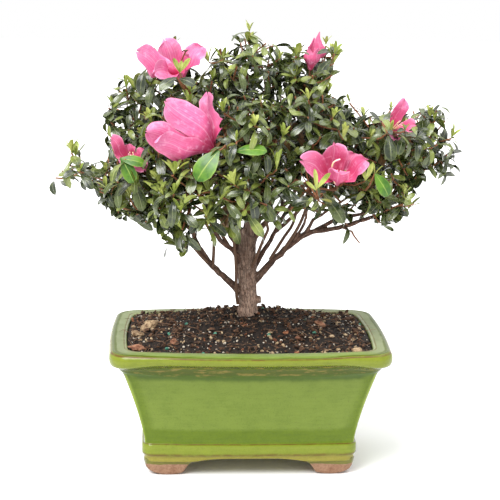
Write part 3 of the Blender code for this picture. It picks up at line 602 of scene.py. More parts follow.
@dataclass(frozen=True)
class Glaze:
    """A running green glaze that thins to brown on the pot's edges.

    The zones are lengths along the pot's section, in metres, by the name of the edge. The middle is
    the pot's own, seen from above.
    """

    zones: Mapping[str, float]
    middle: tuple[float, float]
    # The inside's pale grey-green is painted light on the inner wall.
    inside: Colour = shade(150, 160, 104)
    # The rim's pale grey-green is a painted reflection of the bright surroundings.
    rim: Colour = shade(140, 148, 110)
    line: Colour = shade(88, 100, 26)
    lip: Colour = shade(119, 129, 35)
    # The neck's dark olive is painted shade under the overhanging lip.
    neck: Colour = shade(72, 84, 8)
    # A darker green band where the neck meets the body.
    neck_foot: Colour = shade(66, 88, 8)
    panel: Colour = shade(108, 126, 44)
    # A darker, more saturated green above the ledge and along the ribs' inner edges.
    dark_band: Colour = shade(90, 110, 8)
    ledge: Colour = shade(121, 133, 38)
    skirt: Colour = shade(140, 132, 52)
    bare: Colour = shade(98, 74, 24)
    # The corner ribs' lighter yellow-green is a painted highlight.
    rib: Colour = shade(132, 148, 40)
    # The rim's front strip is painted this brighter green in place of the rim's painted reflection.
    front: Colour = shade(124, 146, 62)
    streak: Colour = shade(205, 212, 170)
    cloud: Colour = shade(214, 222, 190)
    mottle: Colour = shade(134, 116, 52)
    grain: Colour = shade(190, 200, 150)
    speck: Colour = shade(92, 86, 34)

    def bands(self) -> list[tuple[float, Colour]]:
        """The colours along the section, from the pot's inside over the lip to the skirt.

        Returns:
            The stops of a ramp that is as long as the section.
        """
        zones = {"start": 0.0, **self.zones}
        bands = (
            # The inside and rim bands carry painted light and a painted reflection.
            (self.inside, "start", 0, "rim", -2),
            (self.rim, "rim", 1, "rim_edge", -2.5),
            (self.line, "rim_edge", -1.5, "rim_edge", 0.5),
            (self.lip, "rim_edge", 1, "lip_under", -1),
            # The neck band is painted shade under the lip.
            (self.neck, "lip_under", 2, "neck_bottom", -1.5),
            (self.neck_foot, "neck_bottom", 0.5, "panel_top", 2),
            (self.panel, "panel_top", 5, "ledge_top", -13),
            (self.dark_band, "ledge_top", -10, "ledge_top", -1),
            (self.ledge, "ledge_top", 1, "ledge_bottom", -0.5),
            (self.skirt, "ledge_bottom", 1.5, "end", 0),
        )
        stops = []
        for colour, *ends in bands:
            for edge, past in (ends[:2], ends[2:]):
                stops.append(((zones[edge] + past * MM) / zones["end"], colour))
        return stops

    def material(self) -> Material:
        """The glaze as a material that reads the pot's section and ribs.

        Returns:
            The material.
        """
        graph = Graph("green_glaze", Coat_Roughness=0.08, Specular_IOR_Level=0.25)
        z = self.zones
        place = graph.place()
        section = graph.attribute("section")
        off_middle = graph.part(place, "X").away_from(self.middle[0])
        mid_front = 1 - off_middle.step(30 * MM, 100 * MM)
        hang = mid_front * 2.2 * MM * (1 - section.step(z["rim_edge"], z["lip_under"]))
        along = section - hang
        rib = graph.attribute("rib")
        wander = graph.noise(place, 22 * MM, 3.0) - 0.5
        drips = graph.noise(place, (9 * MM, 9 * MM, 40 * MM)) - 0.5
        run = along + wander * 2.5 * MM + drips * 2.0 * MM
        body = graph.ramp(run / z["end"], self.bands())
        # Painted: the rim's front strip gets the brighter front green instead of the pale painted
        # reflection.
        at_front = 1 - (graph.part(place, "Y") - self.middle[1]).step(-66 * MM, -58 * MM)
        at_front = at_front * (1 - off_middle.step(78 * MM, 96 * MM))
        at_front = at_front * (1 - run.step(z["rim_edge"] - 1 * MM, z["rim_edge"]))
        body = graph.mix(at_front * 0.85, body, self.front)
        on_body = along.between(
            z["neck_bottom"], z["panel_top"] + 3 * MM, z["ledge_top"] - 2 * MM, z["ledge_top"]
        )
        # Painted highlight: the crests of the corner ribs are lighter.
        crest = 1 - rib.step(-2.0 * MM, -0.4 * MM)
        # Darker along the panel's edge beside each corner rib.
        valley = rib.step(-1.0 * MM, 0.6 * MM) * (1 - (rib + wander * 4 * MM).step(1.5 * MM, 9 * MM))
        body = graph.mix(valley * on_body * 0.85, body, self.dark_band)
        body = graph.mix(crest * on_body * 0.95, body, self.rib)
        fine = graph.noise(place, (14 * MM, 14 * MM, 1.6 * MM), 3.0, 0.6)
        body = graph.tinted((fine - 0.42) * 0.9, body, self.streak)
        clouds = graph.noise(place, 9 * MM, 4.0, 0.6)
        body = graph.tinted((clouds - 0.45) * 1.6, body, self.cloud)
        breaks = 1 - (along - z["rim_edge"] + wander * MM).away_from(1.6 * MM).step(0.2 * MM, 1.0 * MM)
        for edge, width in (("ledge_top", 0.8), ("ledge_bottom", 1.6), ("end", 0.8), ("rim", 0.7)):
            off = (along - z[edge] + wander * 1.2 * MM).away_from(0.0)
            breaks = breaks.maths("MAXIMUM", breaks, 0.8 - 0.8 * off.step(0.2 * MM, width * MM))
        worn = graph.noise(place, 7 * MM).step(0.32, 0.6)
        body = graph.mix(breaks * (0.45 + 0.55 * worn), body, self.bare)
        in_neck = along.between(
            z["lip_under"], z["lip_under"] + 3 * MM, z["neck_bottom"], z["panel_top"] + 1 * MM
        )
        mottle = graph.noise(place, (11 * MM, 11 * MM, 2.2 * MM), 3.0, 0.65)
        body = graph.mix(mottle.step(0.52, 0.66) * in_neck * 0.7, body, self.mottle)
        grains = graph.noise(place, 1.1 * MM, 2.0, 0.6)
        body = graph.tinted((grains - 0.5) * 1.4, body, self.grain)
        specks = 1 - graph.cells(place, 6 * MM).step(0.04, 0.1)
        body = graph.mix(specks * 0.45, body, self.speck)
        graph.feed("Base Color", body)
        on_rim = along.between(z["rim"] - 1 * MM, z["rim"], z["rim_edge"] - 2 * MM, z["rim_edge"])
        graph.feed("Roughness", 0.16 + 0.3 * on_rim + 0.14 * clouds)
        graph.feed("Coat Weight", 0.14 - 0.1 * on_rim)
        ripple = graph.noise(place, 6 * MM) + 0.35 * graph.noise(place, 1.2 * MM, 1.0)
        graph.relief(ripple, 0.25 * MM, 0.45)
        return graph.material


@dataclass(frozen=True)
class Clay:
    """Bare fired clay, glazed where the pot's glaze has run on to it."""

    clay: Colour = shade(134, 100, 76)
    dust: Colour = shade(160, 124, 100)
    glaze: Colour = shade(100, 98, 30)
    stain: Colour = shade(196, 170, 150)
    glaze_line: float = 7.8 * MM

    def material(self) -> Material:
        """The clay as a material.

        Returns:
            The material.
        """
        graph = Graph("bare_clay")
        place = graph.place()
        grain = graph.noise(place, 1.3 * MM, 4.0, 0.6)
        stains = graph.noise(place, 7 * MM, 3.0)
        colour = graph.mix(grain.step(0.35, 0.7), self.clay, self.dust)
        colour = graph.tinted(stains.step(0.45, 0.75) * 0.6, colour, self.stain)
        edge = graph.part(place, "Z") + (graph.noise(place, 14 * MM) - 0.5) * 3 * MM
        glazed = edge.step(self.glaze_line, self.glaze_line + 0.5 * MM)
        graph.feed("Base Color", graph.mix(glazed, colour, self.glaze))
        graph.feed("Roughness", 0.85 - 0.65 * glazed)
        graph.relief(grain, 0.3 * MM, 0.6)
        return graph.material


@dataclass(frozen=True)
class Grit:
    """Anything that lies in the soil: two colours in patches, and how rough it is."""

    name: str
    dark: Colour
    light: Colour
    roughness: float = 0.9
    patch: float = 3 * MM
    fleck: Colour = shade(150, 140, 130)

    def material(self) -> Material:
        """The grit as a material, its patches dealt by place.

        Returns:
            The material.
        """
        graph = Graph(self.name)
        place = graph.place()
        patches = graph.noise(place, self.patch, 3.0, 0.6)
        colour = graph.mix(patches.step(0.36, 0.64), self.dark, self.light)
        fine = graph.noise(place, 0.5 * MM, 2.0)
        colour = graph.tinted(fine.step(0.35, 0.7) * 0.5, colour, self.fleck)
        graph.feed("Base Color", colour)
        graph.feed("Roughness", self.roughness - 0.15 * fine)
        graph.relief(fine, 0.2 * MM, 0.5)
        return graph.material


@dataclass(frozen=True)
class Bark:
    """Fissured bark: paler and pinker low on the trunk, darker and browner up the boughs."""

    low: Colour = shade(204, 172, 152)
    high: Colour = shade(142, 116, 100)
    bough: Colour = shade(110, 80, 64)
    crack: Colour = shade(44, 31, 25)
    scale: Colour = shade(208, 186, 168)
    blotch: Colour = shade(176, 160, 150)

    def material(self) -> Material:
        """The bark as a material that reads the grain round and along each limb.

        Returns:
            The material.
        """
        graph = Graph("bark")
        grain = graph.attribute("grain", "Vector")
        girth = graph.attribute("girth")
        place = graph.place()
        height = graph.part(place, "Z")
        colour = graph.mix(height.step(110 * MM, 160 * MM), self.low, self.high)
        colour = graph.mix(1 - girth.step(2.4 * MM, 5.0 * MM), colour, self.bough)
        plates = graph.noise(grain, (1.3 * MM, 7 * MM, 50 * MM), 4.0, 0.65)
        cracks = 1 - (plates - 0.5).away_from(0.0).step(0.0, 0.07)
        flakes = graph.noise(grain, (2.2 * MM, 5 * MM, 50 * MM), 3.0, 0.6)
        colour = graph.mix(flakes.step(0.55, 0.72) * 0.5, colour, self.scale)
        colour = graph.mix(cracks * 0.75, colour, self.crack)
        blotches = graph.noise(place, 6 * MM, 3.0)
        colour = graph.tinted(blotches.step(0.45, 0.7) * 0.7, colour, self.blotch)
        graph.feed("Base Color", colour)
        graph.feed("Roughness", 0.82 + 0.1 * flakes)
        graph.relief(plates + 0.5 * flakes - 0.6 * cracks, 0.5 * MM, 0.8)
        return graph.material


@dataclass(frozen=True)
class TwigSkin:
    """The thin skin of the twigs: brown, and rust red where they are youngest."""

    old: Colour = shade(98, 70, 50)
    young: Colour = shade(146, 94, 60)
    fleck: Colour = shade(150, 130, 120)

    def material(self) -> Material:
        """The skin as a material that reads how thick the twig is.

        Returns:
            The material.
        """
        graph = Graph("twig_skin")
        girth = graph.attribute("girth")
        place = graph.place()
        patches = graph.noise(place, 4 * MM, 3.0)
        age = girth.step(0.6 * MM, 1.1 * MM) + (patches - 0.5) * 0.8
        colour = graph.mix(age.step(0.0, 1.0), self.young, self.old)
        fine = graph.noise(place, 0.8 * MM, 2.0)
        colour = graph.tinted(fine.step(0.4, 0.7) * 0.6, colour, self.fleck)
        graph.feed("Base Color", colour)
        graph.feed("Roughness", 0.6 + 0.2 * fine)
        graph.relief(fine, 0.15 * MM, 0.5)
        return graph.material


@dataclass(frozen=True)
class LeafSkin:
    """A leaf's glossy skin, with a paler midrib and faint side veins."""

    name: str
    deep: Colour
    fresh: Colour
    rib: Colour
    roughness: float
    coat: float

    def material(self) -> Material:
        """The skin as a material that reads the leaf's own map.

        Returns:
            The material.
        """
        graph = Graph(self.name, Coat_Weight=self.coat, Coat_Roughness=0.25)
        leaf = graph.surface_map()
        place = graph.place()
        across = graph.part(leaf, "X").away_from(0.5)
        along = graph.part(leaf, "Y")
        tones = graph.noise(place, 14 * MM, 2.0)
        fine = graph.noise(place, 2.5 * MM, 2.0)
        colour = graph.mix((tones + 0.3 * (fine - 0.5)).step(0.38, 0.64), self.deep, self.fresh)
        midrib = 1 - across.step(0.012, 0.05)
        colour = graph.mix(midrib * (0.75 - 0.45 * along), colour, self.rib)
        margin = across.step(0.40, 0.5)
        colour = graph.mix(margin * 0.25, colour, self.rib)
        graph.feed("Base Color", colour)
        graph.feed("Roughness", self.roughness + 0.15 * (fine - 0.5))
        ribs = (along * 9 - across * 7).maths("SINE", (along * 9 - across * 7) * math.pi)
        graph.relief(0.12 * ribs - midrib * 0.6 + fine * 0.3, 0.25 * MM, 0.6)
        return graph.material


@dataclass(frozen=True)
class PetalSkin:
    """A petal: deep pink in the throat, paler outwards, with a pale midrib and fine veins."""

    throat: Colour = shade(196, 48, 98)
    middle: Colour = shade(214, 98, 148)
    edge: Colour = shade(214, 130, 170)
    rib: Colour = shade(232, 172, 194)
    pale: Colour = shade(234, 164, 196)
    dark: Colour = shade(190, 62, 116)
    deep: Colour = shade(180, 50, 84)
    streak: Colour = shade(244, 172, 204)

    def material(self) -> Material:
        """The skin as a material that reads the petal's own map.

        Returns:
            The material.
        """
        # The petals glow faintly in their own colour: painted light standing in for light through them.
        graph = Graph("petal_pink", Roughness=0.55, Emission_Strength=0.08)
        petal = graph.surface_map()
        place = graph.place()
        across = graph.part(petal, "X")
        along = graph.part(petal, "Y")
        clouds = graph.noise(place, 9 * MM, 3.0)
        depth = along + (clouds - 0.5) * 0.6
        stops = ((0.05, self.throat), (0.35, self.middle), (0.9, self.edge))
        colour = graph.ramp(depth, stops)
        colour = graph.mix(graph.attribute("deep") * (1.1 - 0.6 * along), colour, self.deep)
        streaks = graph.noise(petal, (0.05, 0.9, 1.0), 3.0, 0.6)
        colour = graph.tinted(streaks.step(0.42, 0.68) * 0.7, colour, self.streak)
        mottle = graph.noise(place, 4 * MM, 3.0, 0.6)
        colour = graph.mix(mottle.step(0.52, 0.72) * 0.5, colour, self.pale)
        colour = graph.mix((1 - mottle.step(0.3, 0.46)) * 0.45, colour, self.dark)
        margin = across.away_from(0.5).step(0.4, 0.5) * along
        colour = graph.mix(margin * 0.55, colour, self.pale)
        veins = 1 - graph.noise(petal, (0.035, 1.4, 1.0), 2.0).step(0.36, 0.46)
        colour = graph.mix(veins * 0.45, colour, self.dark)
        midrib = 1 - across.away_from(0.5).step(0.008, 0.03)
        colour = graph.mix(midrib * 0.3, colour, self.rib)
        graph.feed("Base Color", colour)
        # Painted light: the petal's colour also glows.
        graph.feed("Emission Color", colour)
        graph.relief(streaks - midrib * 0.5, 0.3 * MM, 0.5)
        return graph.material


@dataclass(frozen=True)
class FlowerThread:
    """The threads in a flower, pale at the foot and darker at the head."""

    foot: Colour = shade(250, 190, 205)
    head: Colour = shade(236, 214, 160)

    def material(self) -> Material:
        """The threads as a material.

        Returns:
            The material.
        """
        graph = Graph("flower_threads", Roughness=0.5)
        place = graph.place()
        tones = graph.noise(place, 5 * MM, 2.0)
        graph.feed("Base Color", graph.mix(tones.step(0.4, 0.62), self.foot, self.head))
        return graph.material


@dataclass(frozen=True)
class Paper:
    """The pale floor, with the least grain of paper."""

    base: Colour = (0.93, 0.93, 0.93, 1.0)
    grain: Colour = shade(240, 240, 240)

    def material(self) -> Material:
        """The floor as a material.

        Returns:
            The material.
        """
        graph = Graph("pale_floor", Roughness=0.9, Specular_IOR_Level=0.1)
        grain = graph.noise(graph.place(), 4 * MM, 2.0)
        graph.feed("Base Color", graph.tinted(grain * 0.02, self.base, self.grain))
        return graph.material


# Modelling


class Bench:
    """The workbench: primitives, edit mode and modifiers, used on one piece at a time."""

    offset = Vector((0, 0, 0))

    @staticmethod
    def clear() -> None:
        """Leaves edit mode and deselects everything."""
        if bpy.context.object and bpy.context.object.mode != "OBJECT":
            bpy.ops.object.mode_set(mode="OBJECT")
        bpy.ops.object.select_all(action="DESELECT")

    @staticmethod
    def pick(piece: Piece) -> None:
        """Selects one piece alone and makes it the active one.

        Args:
            piece: The piece.
        """
        Bench.clear()
        piece.select_set(True)
        bpy.context.view_layer.objects.active = piece

    @staticmethod
    def named(name: str) -> Piece:
        """Names the primitive that has just been added.

        Args:
            name: Its name.

        Returns:
            The primitive.
        """
        piece = bpy.context.object
        piece.name = piece.data.name = name
        return piece

    @staticmethod
    @contextmanager
    def edit() -> Iterator[None]:
        """Edit mode on the active piece, with all of it selected.

        Yields:
            Once, while the edit lasts.
        """
        bpy.ops.object.mode_set(mode="EDIT")
        bpy.ops.mesh.select_all(action="SELECT")
        yield
        bpy.ops.object.mode_set(mode="OBJECT")

    @staticmethod
    def loft(name: str, rings: Sequence[Sequence[Vector]]) -> tuple[Piece, Rows]:
        """A closed skin over rings of points: a circle that is extruded from each to the next.

        Args:
            name: The piece's name.
            rings: The rings, all with the same count of points.

        Returns:
            The piece, and the numbers of its vertices, ring by ring.
        """
        Bench.clear()
        bpy.ops.mesh.primitive_circle_add(vertices=len(rings[0]), radius=1.0)
        piece = Bench.named(name)
        for vertex, point in zip(piece.data.vertices, rings[0]):
            vertex.co = point
        rows = [list(range(len(rings[0])))]
        with Bench.edit():
            bpy.ops.mesh.edge_face_add()
            bpy.ops.mesh.select_mode(type="EDGE")
            for ring in rings[1:]:
                Bench.extrude_ring(piece, rows, ring)
            bpy.ops.mesh.edge_face_add()
            bpy.ops.mesh.select_all(action="SELECT")
            bpy.ops.mesh.normals_make_consistent(inside=False)
        return piece, rows

    @staticmethod
    def extrude_ring(piece: Piece, rows: Rows, ring: Sequence[Vector]) -> None:
        """Extrudes the last ring of edges and moves the new one into place.

        Args:
            piece: The piece in edit mode.
            rows: The rings of vertex numbers so far, to which the new one is added.
            ring: The points of the new ring.
        """
        last = set(rows[-1])
        edit = bmesh.from_edit_mesh(piece.data)
        for edge in edit.edges:
            edge.select_set(edge.verts[0].index in last and edge.verts[1].index in last)
        bpy.ops.mesh.extrude_edges_move()
        edit = bmesh.from_edit_mesh(piece.data)
        edit.verts.index_update()
        edit.verts.ensure_lookup_table()
        fresh = {}
        for vert in edit.verts[-len(ring) :]:
            for edge in vert.link_edges:
                other = edge.other_vert(vert)
                if other.index in last:
                    fresh[other.index] = vert
        row = []
        for number, point in zip(rows[-1], ring):
            fresh[number].co = point
            row.append(fresh[number].index)
        rows.append(row)
        bmesh.update_edit_mesh(piece.data)

    @staticmethod
    def modify(piece: Piece, kind: str, **settings: Any) -> None:
        """Adds a modifier with its settings and applies it.

        Args:
            piece: The piece.
            kind: The modifier's type.
            settings: Its settings, by name.
        """
        Bench.pick(piece)
        modifier = piece.modifiers.new(kind.lower(), kind)
        for name, value in settings.items():
            setattr(modifier, name, value)
        bpy.ops.object.modifier_apply(modifier=modifier.name)

    @staticmethod
    def subdivide(piece: Piece, levels: int) -> None:
        """Rounds a piece by subdivision, to the same level in every view."""
        Bench.modify(piece, "SUBSURF", levels=levels, render_levels=levels)

    @staticmethod
    def join(name: str, pieces: Sequence[Piece]) -> Piece:
        """Joins pieces into the first of them, under a name.

        Args:
            name: The name.
            pieces: The pieces.

        Returns:
            The joined piece.
        """
        Bench.pick(pieces[0])
        for piece in pieces:
            piece.select_set(True)
        bpy.ops.object.join()
        return Bench.named(name)

    @staticmethod
    def read(mesh: bpy.types.Mesh, name: str) -> np.ndarray:
        """Reads the places or the normals of a mesh's vertices.

        Args:
            mesh: The mesh.
            name: Either "co" or "normal".

        Returns:
            A row for each vertex.
        """
        values = np.zeros(len(mesh.vertices) * 3)
        mesh.vertices.foreach_get(name, values)
        return values.reshape(-1, 3)

    @staticmethod
    def write(piece: Piece, name: str, values: Iterable[float]) -> None:
        """Stores one number at each vertex of a piece, under a name."""
        layer = piece.data.attributes.new(name, "FLOAT", "POINT")
        layer.data.foreach_set("value", np.fromiter(values, np.float32))

    @staticmethod
    def hand_over(
        piece: Piece,
        material: Material,
        slot: str,
        nodes: Sequence[str] = (),
        crease: float = 50.0,
    ) -> None:
        """Dresses a finished piece, moves it to the CAD's place, hangs it on the root body and hides its
        nodes.

        Args:
            piece: The finished piece.
            material: Its material.
            slot: The record's material slot; not used.
            nodes: The CAD nodes that it stands for.
            crease: The angle above which an edge stays sharp, in degrees.
        """
        Bench.pick(piece)
        bpy.ops.object.shade_smooth_by_angle(angle=math.radians(crease))
        piece.data.materials.clear()
        piece.data.materials.append(material)
        piece.data.transform(Matrix.Translation(Bench.offset))
        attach(piece, "root")
        if nodes:
            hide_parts(*nodes)
        faces = sum(len(face.vertices) - 2 for face in piece.data.polygons)
        LOG.info("%s: %d triangles, %s", piece.name, faces, material.name)


@dataclass
class Pattern:
    """A small shape that is laid many times: its points, its faces and its own map."""

    points: np.ndarray
    corners: np.ndarray
    sizes: np.ndarray
    chart: np.ndarray

    @classmethod
    def take(cls, piece: Piece) -> "Pattern":
        """Reads a modelled piece as a pattern and clears it away.

        Args:
            piece: The modelled piece.

        Returns:
            The pattern.
        """
        mesh = piece.data
        points = Bench.read(mesh, "co").astype(np.float32)
        corners = np.zeros(len(mesh.loops), np.int32)
        mesh.loops.foreach_get("vertex_index", corners)
        sizes = np.array([face.loop_total for face in mesh.polygons], np.int32)
        chart = np.zeros(len(mesh.loops) * 2, np.float32)
        if mesh.uv_layers:
            mesh.uv_layers[0].data.foreach_get("uv", chart)
        bpy.data.objects.remove(piece, do_unlink=True)
        return cls(points, corners, sizes, chart)


class Heap:
    """Many copies of a few patterns, joined into one mesh from arrays."""

    def __init__(self, name: str, patterns: Sequence[Pattern]) -> None:
        """Starts an empty heap.

        Args:
            name: The name of the piece that it becomes.
            patterns: The patterns that it is made of.
        """
        self.name = name
        self.patterns = list(patterns)
        self.laid: list[list[Matrix]] = [[] for _ in self.patterns]

    def lay(self, pattern: int, matrix: Matrix) -> None:
        """Lays one copy of a pattern."""
        self.laid[pattern].append(matrix)

    def count(self) -> int:
        """How many copies have been laid."""
        return sum(len(copies) for copies in self.laid)

    def parts(self, most: int = 3300) -> list["Heap"]:
        """Deals the copies out to as few heaps as can hold them.

        Args:
            most: How many copies a heap may hold.

        Returns:
            The heaps, with numbered names.
        """
        shares = max(1, math.ceil(self.count() / most))
        heaps = []
        for number in range(shares):
            heap = Heap(f"{self.name}_{number + 1}", self.patterns)
            heap.laid = [copies[number::shares] for copies in self.laid]
            heaps.append(heap)
        return heaps

    def build(self) -> Piece:
        """Makes the joined mesh.

        Returns:
            The piece.
        """
        arrays = [], [], [], []
        base = 0
        for pattern, copies in zip(self.patterns, self.laid):
            if copies:
                moves = np.array(copies, np.float32)
                moved = np.einsum("kij,vj->kvi", moves[:, :3, :3], pattern.points)
                moved += moves[:, None, :3, 3]
                starts = base + np.arange(len(copies), dtype=np.int32) * len(pattern.points)
                arrays[0].append(moved.reshape(-1, 3))
                arrays[1].append((pattern.corners[None, :] + starts[:, None]).ravel())
                arrays[2].append(np.tile(pattern.sizes, len(copies)))
                arrays[3].append(np.tile(pattern.chart, len(copies)))
                base += len(copies) * len(pattern.points)
        return make_mesh(self.name, *(np.concatenate(array) for array in arrays))


def make_mesh(
    name: str, points: np.ndarray, corners: np.ndarray, sizes: np.ndarray, chart: np.ndarray | None = None
) -> Piece:
    """A mesh object from arrays.

    Args:
        name: Its name.
        points: The vertices.
        corners: The vertex number at each corner of each face.
        sizes: The count of corners of each face.
        chart: The map's coordinates at each corner.

    Returns:
        The object.
    """
    mesh = bpy.data.meshes.new(name)
    mesh.vertices.add(len(points))
    mesh.vertices.foreach_set("co", points.astype(np.float32).ravel())
    mesh.loops.add(len(corners))
    mesh.loops.foreach_set("vertex_index", corners.astype(np.int32))
    mesh.polygons.add(len(sizes))
    starts = np.concatenate(([0], np.cumsum(sizes)[:-1])).astype(np.int32)
    mesh.polygons.foreach_set("loop_start", starts)
    if chart is not None:
        mesh.uv_layers.new(name="UVMap").data.foreach_set("uv", chart.astype(np.float32))
    mesh.update(calc_edges=True)
    mesh.validate()
    piece = bpy.data.objects.new(name, mesh)
    bpy.context.scene.collection.objects.link(piece)
    return piece


class Route:
    """A smooth line through points, with a radius at each of its points."""

    def __init__(self, points: Sequence[Vector], radii: Sequence[float], spacing: float = 4 * MM) -> None:
        """Runs a curve through the points.

        Args:
            points: The points that it passes through.
            radii: Two radii, which taper evenly along it, or one at each of its points.
            spacing: The distance between the points that it is cut into.
        """
        self.points: list[Vector] = []
        for i in range(len(points) - 1):
            steps = max(1, round((points[i + 1] - points[i]).length / spacing))
            for step in range(steps):
                self.points.append(self.between(points, i, step / steps))
        self.points.append(points[-1].copy())
        self.reached = [0.0]
        for a, b in zip(self.points, self.points[1:]):
            self.reached.append(self.reached[-1] + (b - a).length)
        self.length = self.reached[-1]
        if len(radii) == 2:
            start, end = radii
            self.radii = [start + (end - start) * way / self.length for way in self.reached]
        else:
            self.radii = list(radii)

    @staticmethod
    def between(points: Sequence[Vector], i: int, t: float) -> Vector:
        """A point of the smooth curve through some points.

        Args:
            points: The points.
            i: The number of the point before the wanted one.
            t: The share of the way to the next point.

        Returns:
            The point.
        """
        a, b = points[i], points[i + 1]
        before = points[i - 1] if i else 2 * a - b
        after = points[i + 2] if i + 2 < len(points) else 2 * b - a
        bend = (2 * before - 5 * a + 4 * b - after) * t**2
        twist = (3 * a - before - 3 * b + after) * t**3
        return 0.5 * (2 * a + (b - before) * t + bend + twist)

    def at(self, share: float) -> tuple[Vector, float]:
        """Finds a place on the line.

        Args:
            share: The share of its length.

        Returns:
            The point and the radius there.
        """
        way = share * self.length
        i = 0
        while i < len(self.points) - 2 and way > self.reached[i + 1]:
            i += 1
        t = (way - self.reached[i]) / (self.reached[i + 1] - self.reached[i])
        radius = self.radii[i] + (self.radii[i + 1] - self.radii[i]) * t
        return self.points[i].lerp(self.points[i + 1], t), radius

    def clearance(self, point: Vector) -> float:
        """How far a point lies outside the skin.

        Args:
            point: The point.

        Returns:
            The distance, which is negative inside.
        """
        least = math.inf
        for i in range(len(self.points) - 1):
            a, b = self.points[i], self.points[i + 1]
            along = b - a
            t = max(0.0, min(1.0, (point - a).dot(along) / along.length_squared))
            radius = self.radii[i] + (self.radii[i + 1] - self.radii[i]) * t
            least = min(least, (point - a.lerp(b, t)).length - radius)
        return least

    def frames(self) -> list[tuple[Vector, Vector]]:
        """Two ways across the line at each of its points, turned as little as possible.

        Returns:
            The pairs of ways.
        """
        frames = []
        across = None
        for i in range(len(self.points)):
            after = self.points[min(i + 1, len(self.points) - 1)]
            ahead = (after - self.points[max(i - 1, 0)]).normalized()
            across = across or ahead.orthogonal()
            across = (across - ahead * across.dot(ahead)).normalized()
            frames.append((across, ahead.cross(across)))
        return frames

    def rings(self, sides: int) -> list[list[Vector]]:
        """Rings of points round the line.

        Args:
            sides: The count of points in a ring.

        Returns:
            A ring at each point.
        """
        rings = []
        for point, radius, (across, other) in zip(self.points, self.radii, self.frames()):
            ring = []
            for k in range(sides):
                angle = math.tau * k / sides
                way = across * math.cos(angle) + other * math.sin(angle)
                ring.append(point + way * radius)
            rings.append(ring)
        return rings


class Rods:
    """Many thin rods along routes, joined into one mesh from arrays, with their girth stored."""

    def __init__(self, name: str) -> None:
        """Starts an empty bundle.

        Args:
            name: The name of the piece that it becomes.
        """
        self.name = name
        self.points: list[Vector] = []
        self.girths: list[float] = []
        self.corners: list[int] = []
        self.sizes: list[int] = []

    def add(self, route: Route, sides: int) -> None:
        """Adds a rod, closed at both its ends.

        Args:
            route: Its line and radii.
            sides: How many sides it has.
        """
        base = len(self.points)
        rings = route.rings(sides)
        for ring, radius in zip(rings, route.radii):
            self.points += ring
            self.girths += [radius] * sides
        for row in range(len(rings) - 1):
            for k in range(sides):
                after = (k + 1) % sides
                low, high = base + row * sides, base + (row + 1) * sides
                self.corners += [low + k, low + after, high + after, high + k]
                self.sizes.append(4)
        self.corners += [base + k for k in reversed(range(sides))]
        self.corners += [base + (len(rings) - 1) * sides + k for k in range(sides)]
        self.sizes += [sides, sides]

    def build(self) -> Piece:
        """Makes the joined mesh.

        Returns:
            The piece.
        """
        points = np.array([tuple(point) for point in self.points], np.float32)
        piece = make_mesh(self.name, points, np.array(self.corners), np.array(self.sizes))
        Bench.write(piece, "girth", self.girths)
        return piece


# The pot


@dataclass(frozen=True)
class Station:
    """A place on the pot's section: how far it is drawn in, its height, and its outline there."""

    inset: float
    height: float
    bow: float = 1.0
    corner: float | None = None
    name: str = ""


